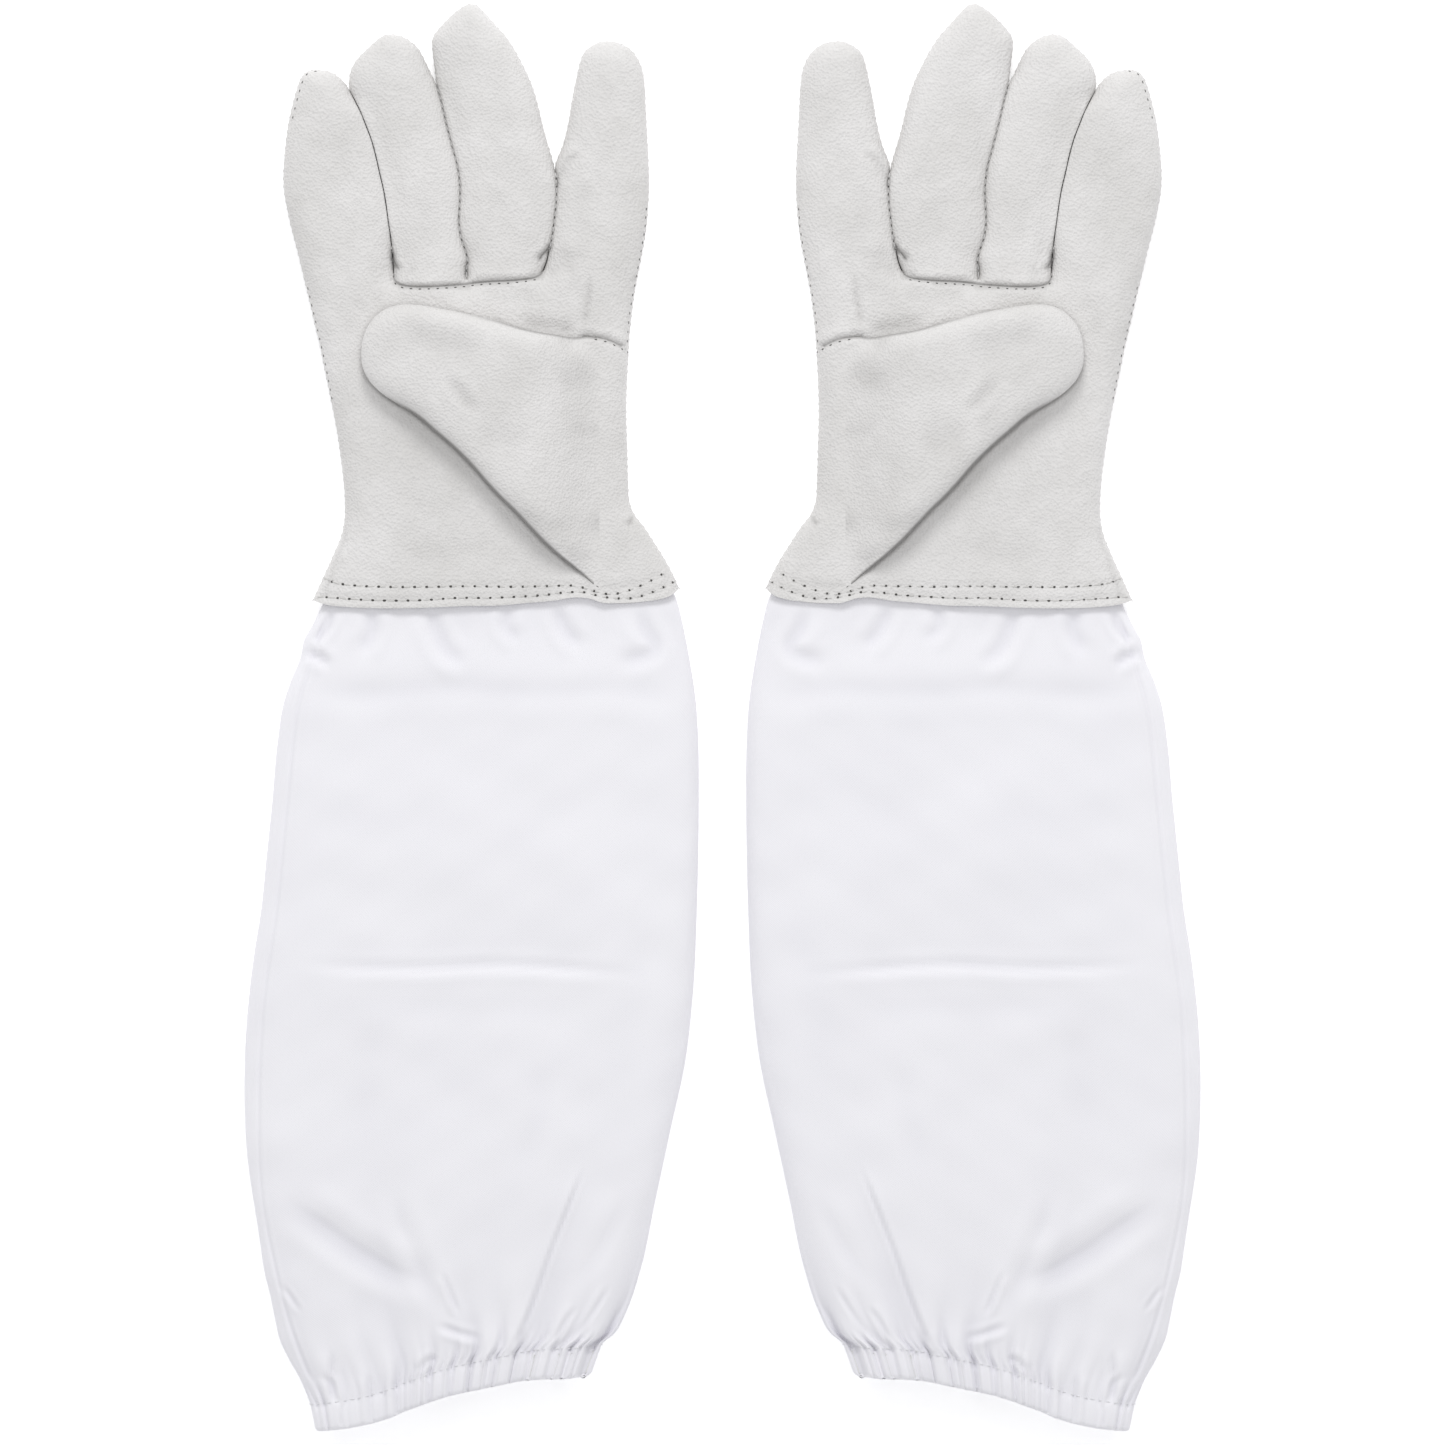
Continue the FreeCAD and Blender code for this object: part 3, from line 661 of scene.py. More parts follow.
class StitchTree:
    """A node tree that lays stitches along a line: evenly spaced beads, slightly uneven in turn and size."""

    INPUTS = (("Pitch", 0.0042), ("Stitch Length", 0.0024), ("Stitch Width", 0.0006), ("Stitch Height", 0.0006))

    def __init__(self) -> None:
        """Builds the tree."""
        self.tree = bpy.data.node_groups.new("stitch_row", "GeometryNodeTree")
        face = self.tree.interface
        face.new_socket("Geometry", in_out="INPUT", socket_type="NodeSocketGeometry")
        self.sockets: dict[str, str] = {}
        for name, value in self.INPUTS:
            socket = face.new_socket(name, in_out="INPUT", socket_type="NodeSocketFloat")
            socket.default_value = value
            self.sockets[name] = socket.identifier
        socket = face.new_socket("Thread", in_out="INPUT", socket_type="NodeSocketMaterial")
        self.sockets["Thread"] = socket.identifier
        face.new_socket("Geometry", in_out="OUTPUT", socket_type="NodeSocketGeometry")
        self._wire()

    def _node(self, kind: str, **inputs: object) -> bpy.types.Node:
        """Adds a node and sets or links its inputs by name.

        Args:
            kind: The node's type.
            **inputs: A value or a socket for each input, by its name.

        Returns:
            The new node.
        """
        node = self.tree.nodes.new(kind)
        for key, value in inputs.items():
            socket = node.inputs[key.replace("_", " ")]
            if isinstance(value, bpy.types.NodeSocket):
                self.tree.links.new(value, socket)
            else:
                socket.default_value = value
        return node

    def _wire(self) -> None:
        """Lays out the nodes from the line to the finished beads."""
        source = self.tree.nodes.new("NodeGroupInput").outputs
        spaced = self.tree.nodes.new("GeometryNodeResampleCurve")
        spaced.mode = "LENGTH"
        self.tree.links.new(source["Geometry"], spaced.inputs["Curve"])
        self.tree.links.new(source["Pitch"], spaced.inputs["Length"])
        bead = self._node("GeometryNodeMeshIcoSphere", Radius=0.5, Subdivisions=2)
        along = self._node(
            "FunctionNodeAlignRotationToVector", Vector=self.tree.nodes.new("GeometryNodeInputTangent").outputs[0]
        )
        along.axis = "X"
        wobble = self.tree.nodes.new("FunctionNodeRandomValue")
        wobble.data_type = "FLOAT_VECTOR"
        wobble.inputs[0].default_value = (-0.05, -0.05, -0.12)
        wobble.inputs[1].default_value = (0.05, 0.05, 0.12)
        wobble.inputs["Seed"].default_value = 7
        turned = self._node("FunctionNodeRotateRotation", Rotation=along.outputs[0], Rotate_By=wobble.outputs[0])
        vary = self.tree.nodes.new("FunctionNodeRandomValue")
        vary.inputs[2].default_value = 0.85
        vary.inputs[3].default_value = 1.12
        vary.inputs["Seed"].default_value = 3
        length = self._node("ShaderNodeMath")
        length.operation = "MULTIPLY"
        self.tree.links.new(source["Stitch Length"], length.inputs[0])
        self.tree.links.new(vary.outputs[1], length.inputs[1])
        shape = self._node(
            "ShaderNodeCombineXYZ", X=length.outputs[0], Y=source["Stitch Width"], Z=source["Stitch Height"]
        )
        placed = self._node(
            "GeometryNodeInstanceOnPoints",
            Points=spaced.outputs[0],
            Instance=bead.outputs[0],
            Rotation=turned.outputs[0],
            Scale=shape.outputs[0],
        )
        real = self._node("GeometryNodeRealizeInstances", Geometry=placed.outputs[0])
        soft = self._node("GeometryNodeSetShadeSmooth", Geometry=real.outputs[0])
        dressed = self._node("GeometryNodeSetMaterial", Geometry=soft.outputs[0], Material=source["Thread"])
        self.tree.links.new(dressed.outputs[0], self.tree.nodes.new("NodeGroupOutput").inputs[0])

    def sew(
        self,
        name: str,
        side: Side,
        paths: Sequence[np.ndarray],
        finish: bpy.types.Material,
        pitch: float = 4.2,
        size: tuple[float, float, float] = (2.4, 0.6, 0.6),
    ) -> bpy.types.Object:
        """A mesh of stitches along lines.

        Args:
            name: The piece's name without its glove.
            side: The glove that it belongs to.
            paths: Lines in millimetres on the unmirrored glove, one row of points each.
            finish: The thread's material.
            pitch: Spacing of the stitches in millimetres.
            size: Each stitch's length, width and height in millimetres.

        Returns:
            The stitches as one plain mesh object.
        """
        full = f"{side.value}_{name}"
        curve = bpy.data.curves.new(full + "_line", "CURVE")
        curve.dimensions = "3D"
        flip = -1.0 if side.mirrored else 1.0
        for path in paths:
            spline = curve.splines.new("POLY")
            spline.points.add(len(path) - 1)
            for point, (x, y, z) in zip(spline.points, path):
                point.co = (x * flip * MM, y * MM, z * MM, 1.0)
        line = bpy.data.objects.new(full + "_line", curve)
        bpy.context.scene.collection.objects.link(line)
        modifier = line.modifiers.new("stitches", "NODES")
        modifier.node_group = self.tree
        values = dict(zip((n for n, _ in self.INPUTS), (pitch * MM, *(v * MM for v in size))))
        for key, value in values.items():
            modifier[self.sockets[key]] = value
        modifier[self.sockets["Thread"]] = finish
        graph = bpy.context.evaluated_depsgraph_get()
        mesh = bpy.data.meshes.new_from_object(line.evaluated_get(graph))
        mesh.name = full
        bpy.data.objects.remove(line)
        bpy.data.curves.remove(curve)
        made = bpy.data.objects.new(full, mesh)
        bpy.context.scene.collection.objects.link(made)
        return made


def on_surface(tree: BVHTree, path: np.ndarray, face: Face, lift: float) -> np.ndarray:
    """A line dropped onto a surface.

    Args:
        tree: The surface.
        path: Points in the plane of the table.
        face: The face of the glove to drop onto.
        lift: How far the line stays off the surface.

    Returns:
        The points on the surface, without those that miss it.
    """
    out = []
    for x, y in path:
        start = Vector((x, y, 7.0 + 60.0 * face.value))
        hit, _, _, _ = tree.ray_cast(start, Vector((0.0, 0.0, -face.value)))
        if hit is not None:
            out.append((hit.x, hit.y, hit.z + lift * face.value))
    return np.array(out)


# ---------------------------------------------------------------- the leather hand

# the outline's spacing of points, and how far the gathers' reach is measured up the sleeve
OUTLINE_STEP = 1.4
SLEEVE_LENGTH = 285.0

# stitches: the pitch along a seam, and the length, width and height of one stitch or hole
CUFF_PITCH = 4.2
CUFF_STITCH = (2.9, 0.5, 0.4)
CUFF_HOLE = (1.15, 0.85, 0.5)
SEAM_PITCH = 3.1
SEAM_HOLE = (1.0, 0.5, 0.4)
SIDE_PITCH = 2.8
SIDE_STITCH = (1.3, 0.3, 0.8)
DOT_PITCH = 3.0
SEAM_DOT = (1.0, 0.45, 0.4)
HEM_PITCH = 3.0
HEM_STITCH = (1.8, 0.45, 0.45)

FINGERS = ("index", "middle", "ring", "little")
THUMB_EDGE: Points = (
    (43.0, 136.0), (48.0, 137.0), (52.4, 136.6), (60.0, 137.5), (70.0, 139.2), (80.0, 142.0), (90.0, 144.6),
    (100.0, 146.6), (108.0, 148.0), (114.5, 148.4), (120.5, 147.0), (125.2, 143.6), (128.4, 138.6), (129.7, 132.4),
    (129.3, 126.0), (127.0, 121.2), (123.0, 117.0), (118.0, 113.5), (112.0, 110.0), (107.6, 106.8), (104.0, 103.6),
    (100.0, 100.2), (95.0, 95.7), (90.0, 90.6), (85.0, 84.8), (80.0, 79.4), (75.0, 74.6), (70.0, 69.3), (65.0, 64.0),
    (60.0, 59.3), (55.0, 55.2), (50.5, 51.6), (47.0, 48.4), (43.0, 45.6),
)


@dataclass
class LeatherHand:
    """The leather of the left hand: palm, back and four fingers, without the folded thumb.

    Lines run in the plane of the table, X away from the other glove, Y to the fingertips."""

    finishes: Finishes
    middle_height: float = 7.0
    palm_rise: float = 7.0
    edge_reach: float = 11.0
    back_reach: float = 6.5
    wall: float = 1.1
    knuckle: float = 157.0
    bend_length: float = 19.0
    slot: float = 0.14

    outer_side: Points = (
        (147.6, 42.2), (143.6, 51.0), (140.0, 59.0), (137.2, 66.0), (136.1, 71.5), (136.0, 77.0),
        (136.3, 83.0), (137.0, 90.0), (138.1, 98.0), (139.6, 107.0), (141.2, 115.0), (143.1, 124.0),
        (145.1, 134.0), (146.8, 141.0), (148.6, 149.0), (150.4, 156.5), (153.4, 169.0), (155.2, 175.8),
        (156.8, 183.0), (158.0, 190.0), (158.2, 196.0), (157.8, 202.0), (157.1, 209.0), (156.0, 216.0),
        (154.6, 222.0), (153.2, 227.0), (151.6, 230.9), (149.4, 232.9), (146.5, 233.3), (143.0, 233.0),
        (140.0, 232.0), (137.4, 230.0),
    )
    little_ring: Points = (
        (134.6, 226.6), (132.4, 222.2), (130.3, 218.0), (128.3, 213.0), (126.4, 208.0), (125.0, 203.0),
        (123.4, 196.0), (122.0, 190.0), (121.0, 184.0), (120.2, 178.0), (119.5, 173.0), (118.9, 167.0),
        (118.5, 160.0),
    )
    ring_tip: Points = (
        (134.5, 229.8), (134.0, 232.8), (132.6, 235.8), (130.3, 238.7), (127.4, 241.4), (124.6, 244.0),
        (122.3, 245.6), (120.0, 246.1), (117.4, 245.9), (114.6, 245.0), (112.0, 243.3), (109.6, 241.0),
        (107.7, 237.6), (106.0, 234.0), (104.7, 231.2),
    )
    ring_middle: Points = (
        (103.2, 228.6), (102.2, 225.0), (101.0, 220.5), (99.8, 215.0), (98.5, 210.0), (97.1, 204.5),
        (95.7, 199.5), (94.9, 195.0), (94.5, 190.0), (94.6, 185.0), (94.9, 180.0), (94.6, 175.0),
        (93.8, 171.5), (92.6, 168.0), (91.8, 164.5), (92.2, 161.5), (92.2, 158.2),
    )
    middle_tip: Points = (
        (103.5, 232.0), (104.1, 237.0), (104.6, 241.5), (104.4, 245.0), (103.0, 247.2), (100.2, 250.4),
        (97.0, 253.5), (93.6, 256.0), (91.2, 257.1), (89.0, 256.8), (86.0, 254.2), (82.0, 249.8),
        (78.0, 245.3), (75.0, 240.8), (72.4, 236.0), (70.0, 231.2), (68.0, 226.0), (66.2, 219.5),
        (64.8, 213.5), (63.5, 208.5), (62.0, 203.5),
    )
    middle_index: Points = (
        (60.5, 198.2), (59.9, 194.5), (59.7, 190.0), (60.0, 184.0), (60.7, 178.0), (61.5, 172.0),
        (62.5, 168.0), (63.4, 164.0), (64.6, 161.0),
    )
    index_tip: Points = (
        (59.2, 202.0), (57.8, 205.5), (56.6, 209.5), (55.4, 215.0), (54.0, 223.5), (52.5, 231.0),
        (51.3, 236.2), (49.8, 239.8), (47.0, 242.0), (43.6, 243.5), (40.3, 243.6), (36.6, 242.8),
        (33.2, 240.8), (30.6, 237.6), (28.9, 233.4), (28.1, 228.0), (27.7, 220.0), (27.2, 210.0),
        (26.7, 201.0), (26.5, 192.0), (26.8, 184.0), (27.4, 177.0), (28.3, 171.0), (29.5, 164.5),
        (30.8, 158.0), (31.9, 152.0), (32.8, 145.0), (33.5, 138.0), (34.0, 130.0), (34.4, 122.0),
        (34.7, 113.0), (34.6, 104.0), (34.3, 95.0), (34.0, 84.0), (33.5, 77.5), (31.8, 73.2), (28.5, 69.0),
        (24.6, 63.0), (20.8, 57.0), (17.6, 51.0), (15.6, 46.6),
    )
    cuff_edge: Points = (
        (15.6, 46.6), (18.2, 44.2), (22.5, 42.6), (30.0, 41.6), (38.0, 41.2), (43.0, 41.2), (48.0, 42.8),
        (53.0, 43.2), (60.0, 42.1), (70.0, 41.2), (80.0, 40.3), (95.0, 40.0), (108.0, 39.4), (125.0, 39.3),
        (135.0, 39.7), (143.0, 40.7), (147.6, 42.2),
    )
    knuckle_seam: Points = (
        (118.5, 159.6), (118.2, 157.9), (117.0, 156.2), (115.0, 155.5), (112.0, 155.1), (106.0, 155.0),
        (100.0, 155.3), (94.0, 155.8), (88.0, 156.5), (82.0, 156.9), (76.0, 157.2), (71.0, 157.7),
        (67.6, 158.3), (65.4, 159.5), (64.4, 161.6),
    )
    thumb_seam: Points = (
        (34.2, 132.6), (38.0, 134.5), (41.0, 135.8), (44.0, 136.6), (47.0, 137.0), (50.0, 137.2),
        (52.4, 136.8),
    )
    cuff_rows: tuple[Points, Points] = (
        (
            (142.6, 49.8), (140.4, 48.8), (136.8, 48.0), (130.0, 47.3), (121.8, 47.0), (104.7, 47.0), (91.8, 47.2),
            (75.0, 47.0), (62.8, 47.2), (52.0, 47.2), (46.5, 45.6), (41.0, 44.4), (36.6, 44.8), (32.6, 46.1),
            (29.0, 47.6), (25.3, 49.5), (22.0, 51.4),
        ),
        (
            (144.8, 43.4), (138.8, 43.0), (128.4, 42.3), (118.5, 42.0), (105.5, 42.3), (96.0, 43.0), (84.0, 43.0),
            (74.4, 43.4), (63.7, 44.1), (56.3, 45.0), (49.5, 45.0), (44.0, 43.6), (37.0, 42.8), (31.0, 43.2),
            (27.5, 44.3), (24.5, 45.4), (21.0, 47.0), (18.0, 48.6),
        ),
    )
    seen_seams: tuple[tuple[str, str | None, Points], ...] = (
        ("index", "index", ((27.5, 183.0), (28.0, 176.0), (29.0, 170.0), (30.2, 163.5), (31.0, 159.0))),
        ("hand_inner", None, ((31.7, 155.5), (32.9, 149.0), (33.9, 141.0), (34.3, 135.5))),
        (
            "little", "little",
            ((146.6, 232.6), (149.2, 231.8), (150.8, 229.6), (152.0, 226.0), (153.4, 221.0), (154.6, 216.0)),
        ),
        (
            "hand_outer", None,
            ((149.2, 154.5), (147.6, 147.5), (145.8, 140.0), (144.0, 132.0), (142.2, 123.5), (140.6, 115.0)),
        ),
    )
    creases: tuple[Crease, ...] = (
        Crease(
            ((52.2, 136.9), (50.6, 139.8), (49.6, 143.5), (48.8, 148.0), (48.0, 153.0), (46.4, 161.0)),
            0.9, 1.0, 0.4, 0.4, 0.35,
        ),
        Crease(((50.0, 139.5), (56.0, 139.6), (64.0, 140.8), (74.0, 143.2)), 0.9, 2.6, 0.2, 0.0, 0.3),
        Crease(((49.8, 203.4), (53.0, 202.0), (56.0, 199.5), (58.0, 195.5), (59.3, 190.5)), 0.7, 1.2, 0.5, 0.5, 0.3),
        Crease(((59.0, 197.0), (59.2, 193.0), (58.9, 189.8)), 0.9, 0.7, 0.3, 0.0, 0.3, True),
        Crease(((62.0, 171.4), (62.7, 169.0), (64.5, 167.0), (66.6, 163.9)), 1.5, 0.7, 0.6, 0.0, 0.2, True),
        Crease(((118.6, 168.5), (118.4, 165.0), (117.5, 162.8), (116.0, 161.0)), 1.4, 0.7, 0.6, 0.0, 0.2, True),
        Crease(((92.0, 164.5), (92.4, 161.5), (92.0, 158.4)), 1.3, 0.9, 0.3, 0.0, 0.2),
        Crease(((112.0, 165.0), (112.2, 160.5), (113.4, 158.0), (116.0, 157.0)), 0.5, 1.0, 0.5, 0.2, 0.3),
        Crease(((62.0, 168.0), (55.0, 166.0), (47.0, 167.0)), 0.5, 2.6),
        Crease(((51.0, 160.0), (58.0, 162.0), (64.0, 159.5)), 0.6, 2.4),
        Crease(((48.0, 168.0), (50.0, 176.0), (50.5, 185.0), (47.0, 194.0)), 0.4, 3.5),
        Crease(((42.0, 205.0), (44.0, 198.0), (43.0, 190.0)), 0.35, 2.5),
        Crease(
            ((135.6, 69.0), (135.9, 64.0), (138.0, 58.5), (140.0, 53.2), (141.6, 48.5), (143.2, 42.5)),
            0.7, 0.8, 0.4, 0.15, 0.06,
        ),
        Crease(((32.2, 73.0), (33.0, 70.6), (34.4, 68.6)), 0.9, 0.8, 0.5, 0.0, 0.3, True),
        Crease(((29.0, 50.0), (34.0, 47.5), (40.0, 46.5), (46.0, 48.5)), 0.5, 1.2, 0.5),
        Crease(((120.0, 152.0), (108.0, 148.0), (95.0, 149.0)), 0.35, 3.0),
        Crease(((86.0, 152.5), (74.0, 151.0), (62.0, 154.0)), 0.3, 3.0),
        Crease(((128.0, 152.0), (134.0, 143.0), (136.0, 133.0)), 0.35, 3.5),
        Crease(((112.0, 190.0), (108.0, 180.0), (107.0, 170.0)), 0.35, 3.0),
        Crease(((80.0, 192.0), (79.0, 180.0), (78.0, 170.0)), 0.3, 3.5),
        Crease(((137.0, 118.0), (128.0, 108.0), (121.0, 96.0)), 0.3, 4.0),
        Crease(((116.0, 62.0), (100.0, 58.0), (84.0, 62.0)), 0.35, 4.0),
    )

    def outline(self) -> tuple[np.ndarray, np.ndarray]:
        """The closed outline, and its silhouette without the cuff's edge.

        Returns:
            The closed outline, and the silhouette that is part of it.
        """

        def shifted(points: Points, by: float) -> list[tuple[float, float]]:
            """The line moved along X."""
            return [(x + by, y) for x, y in points]

        g = self.slot
        runs = [
            [*self.outer_side, *shifted(self.little_ring, g)],
            [*shifted(self.little_ring[::-1], -g), *self.ring_tip, *shifted(self.ring_middle, g)],
            [*shifted(self.ring_middle[::-1], -g), *self.middle_tip, *shifted(self.middle_index, g)],
            [*shifted(self.middle_index[::-1], -g), *self.index_tip],
        ]
        silhouette = np.vstack([smooth_line(run, OUTLINE_STEP) for run in runs])
        edge = smooth_line(self.cuff_edge, OUTLINE_STEP)[1:-1]
        return np.vstack([silhouette, edge]), silhouette

    def build(self) -> None:
        """Works out the whole skin and the parts that it is cut into."""
        outline, silhouette = self.outline()
        # the outer side starts at the knuckle line, so that the split meets a point of the outline
        crossings = []
        for i in range(len(outline)):
            a, b = outline[i], outline[(i + 1) % len(outline)]
            if (a[1] - self.knuckle) * (b[1] - self.knuckle) < 0:
                t = (self.knuckle - a[1]) / (b[1] - a[1])
                crossings.append((i, a + (b - a) * t))
        for i, point in reversed(crossings):
            outline = np.insert(outline, i + 1, point, axis=0)
        xs = sorted(point[0] for _, point in crossings)
        split = np.column_stack([np.linspace(xs[0], xs[-1], 80), np.full(80, self.knuckle)])
        self.silhouette = silhouette
        xy, faces = fill_outline(outline, [split, *self._fine_lines()], 1.6)
        gap, _, _ = nearest(xy, silhouette)
        on_edge = gap < 1e-3
        palm = self.palm_height(xy, gap)
        back = self.back_height(xy, gap)
        count = len(xy)
        lower = np.arange(count) + count
        lower[on_edge] = np.arange(count)[on_edge]
        points = np.vstack([np.column_stack([xy, palm]), np.column_stack([xy, back])])
        points[:count][on_edge, 2] = self.edge_height(xy[on_edge])
        centre = xy[faces].mean(1)
        all_faces = np.vstack([faces, lower[faces][:, ::-1]])
        centres = np.vstack([centre, centre])
        skin = Skin(points, all_faces).with_normals()
        skin.tone = np.concatenate([self.tone(xy), np.zeros(count)])
        self.skin = skin
        beyond = centres[:, 1] > self.knuckle
        rank = self._finger_of(centres)
        self.parts = {"hand": skin.part(~beyond)}
        for index, finger in enumerate(FINGERS):
            self.parts[finger] = skin.part(beyond & (rank == index))

    def thumb_rest(self) -> np.ndarray:
        """The line on the palm just outside the folded thumb's edge, where the thumb's shadow is painted."""
        line = smooth_line(THUMB_EDGE[2:-1], 1.3)
        return beside(line, 0.35)

    def _fine_lines(self) -> list[np.ndarray]:
        """Lines that the mesh follows closely: the thumb's rest, the seams and the sharpest creases.

        Returns:
            Each line with its copies on both sides.
        """
        rest = self.thumb_rest()
        lines = [(rest, (0.6, 1.3))]
        lines += [(smooth_line(c.path, 0.9), (0.5,)) for c in self.creases if c.sharp]
        lines += [(smooth_line(seam[1:-1], 1.0), (0.5,)) for seam in (self.knuckle_seam, self.thumb_seam)]
        out = []
        for line, steps in lines:
            out += [line, *(beside(line, d * side) for d in steps for side in (1.0, -1.0))]
        return out

    def _finger_of(self, xy: np.ndarray) -> np.ndarray:
        """Which finger's strip each point lies in, as its place in FINGERS."""
        borders = (self.middle_index, self.ring_middle, self.little_ring)
        return sum((xy[:, 0] > self._boundary(line, xy[:, 1])).astype(int) for line in borders)

    @staticmethod
    def _boundary(line: Points, y: np.ndarray) -> np.ndarray:
        """The line between two fingers, as X for each Y, carried straight on past its ends.

        Args:
            line: The points of the line between the fingers.
            y: The places along Y to look at.

        Returns:
            The line's X at each place.
        """
        p = np.asarray(sorted(line, key=lambda q: q[1]))
        x = np.interp(y, p[:, 1], p[:, 0])
        lean = (p[-1, 0] - p[-2, 0]) / (p[-1, 1] - p[-2, 1])
        return np.where(y > p[-1, 1], p[-1, 0] + (y - p[-1, 1]) * lean * 0.9, x)

    def edge_height(self, xy: np.ndarray) -> np.ndarray:
        """The height of the silhouette, higher where fingers press against each other.

        Args:
            xy: The points to look at, in X and Y.

        Returns:
            The silhouette's height at each point.
        """
        rise = np.zeros(len(xy))
        for line, most in ((self.little_ring, 5.2), (self.ring_middle, 2.0), (self.middle_index, 2.5)):
            gap, share, _ = nearest(xy, smooth_line(line, 1.0))
            rise = np.maximum(rise, most * np.exp(-((gap / 6.0) ** 2)) * ease(share / 0.15) * ease((1 - share) / 0.3))
        return self.middle_height + rise

    def palm_height(self, xy: np.ndarray, gap: np.ndarray) -> np.ndarray:
        """The height of the palm-side surface, from the distance to the silhouette.

        Args:
            xy: The points to look at, in X and Y.
            gap: How far each point is from the silhouette.

        Returns:
            The surface's height at each point.
        """
        base = self.edge_height(xy)
        top = self.middle_height + self.palm_rise
        height = base + (top - base) * rounded(gap / self.edge_reach)
        height += 0.5 * (1 - np.exp(-gap / 25.0)) * ease(gap / 8.0)
        inside = ease(gap / 4.0)
        height += inside * (Ripple(0.35, 34.0, 4).at(xy) + Ripple(0.12, 11.0, 9).at(xy))
        overlaps = [
            Crease(self.little_ring, 0.0, 1.6, 0.0, 0.7, 0.12),
            Crease(self.ring_middle[:9], 0.0, 1.6, 0.0, 0.6, 0.3),
        ]
        height += inside * total_of([*self.creases, *overlaps], xy)
        seam = [
            Crease(self.knuckle_seam, 1.0, 0.8, 0.2, -0.4, 0.03),
            Crease(self.thumb_seam, 0.9, 0.9, 0.45, 0.25, 0.05),
        ]
        height += ease(gap / 1.5) * total_of(seam, xy)
        for row in self.cuff_rows:
            height += ease(gap / 1.5) * total_of([Crease(row, 0.35, 0.9, 0.5, 0.0, 0.02)], xy)
        return height

    def back_height(self, xy: np.ndarray, gap: np.ndarray) -> np.ndarray:
        """The height of the back surface, which lies on the table.

        Args:
            xy: The points to look at, in X and Y.
            gap: How far each point is from the silhouette.

        Returns:
            The surface's height at each point, never below the table.
        """
        height = self.edge_height(xy) * (1 - rounded(gap / self.back_reach))
        height += ease((gap - 2.0) / 6.0) * (0.15 + np.abs(Ripple(0.3, 40.0, 12).at(xy)))
        for row in self.cuff_rows:
            height -= ease(gap / 3.0) * 0.8 * total_of([Crease(row, 0.3, 0.9, 0.0, 0.0, 0.02)], xy)
        return np.maximum(height, 0.0)

    def tone(self, xy: np.ndarray) -> np.ndarray:
        """Painted shade at each point: darker in the creases and seams, with a painted shadow along the folded
        thumb's edge.

        Args:
            xy: The points to look at, in X and Y.

        Returns:
            A share from 0, as the leather is, to 1, darkest.
        """
        seams = [
            Crease(self.knuckle_seam, 0.75, 0.5, 0.0, 0.0, 0.03),
            Crease(self.thumb_seam, 0.6, 0.5, 0.0, 0.0, 0.05),
        ]
        deep = [
            Crease(c.path, 0.25 * c.depth**2 * (1.6 if c.sharp else 1.0), c.width * 0.8, 0.0, 0.0, c.taper)
            for c in self.creases
        ]
        dark = -total_of([*seams, *deep], xy)
        # painted shadow of the folded thumb: a thin dark line on the palm just outside its edge, faint along the top,
        # darkest along the lower edge
        gap, share, _ = nearest(xy, self.thumb_rest())
        rest = 0.15 + 0.5 * ease((share - 0.42) / 0.12) * ease((1.0 - share) / 0.04)
        return np.clip(dark + rest * np.exp(-((gap / 0.65) ** 2)), 0.0, 1.0)

    def dress(self, side: Side) -> None:
        """Makes this glove's leather objects, ties the hand to its CAD body, and hides the CAD panels that they
        replace.

        Args:
            side: Which glove of the pair it is.
        """
        hand = self.parts["hand"].thickened(self.wall).to_object("leather_hand", side, self.finishes.leather)
        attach(hand, f"{side.value}_hand")
        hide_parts(*(f"{side.value}_{n}" for n in ("palm_panel", "back_panel", "thumb_wing")))
        for finger in FINGERS:
            piece = self.parts[finger].thickened(self.wall).to_object(f"{finger}_finger", side, self.finishes.leather)
            self.bend(piece, finger)
            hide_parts(f"{side.value}_{finger}_front", f"{side.value}_{finger}_back")
        log.info("%s leather hand and four fingers", side.value)

    def bend(self, piece: bpy.types.Object, finger: str) -> None:
        """Bakes a piece's place into its mesh; it does not make the piece bend at the knuckle line.

        Args:
            piece: The piece.
            finger: Not used.
        """
        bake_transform(piece)

    def sew(self, side: Side, stitches: StitchTree) -> None:
        """Sews this glove's leather: cuff rows, knuckle and thumb seams, and the seams round the fingers.

        Args:
            side: Which glove of the pair it is.
            stitches: The tree that makes the stitches.
        """
        tree = self.skin.tree()
        rows = {}
        for face in Face:
            rows[face] = [on_surface(tree, smooth_line(row, 0.8), face, 0.05) for row in self.cuff_rows]
        both = rows[Face.PALM] + rows[Face.BACK]
        cuff = stitches.sew("cuff_thread", side, both, self.finishes.seam_thread, CUFF_PITCH, CUFF_STITCH)
        # near-black beads between the cuff stitches: painted shade for the needle holes
        holes = [shift_path(path, CUFF_PITCH / 2) for path in both]
        cuff_holes = stitches.sew("cuff_needle_holes", side, holes, self.finishes.needle_hole, CUFF_PITCH, CUFF_HOLE)
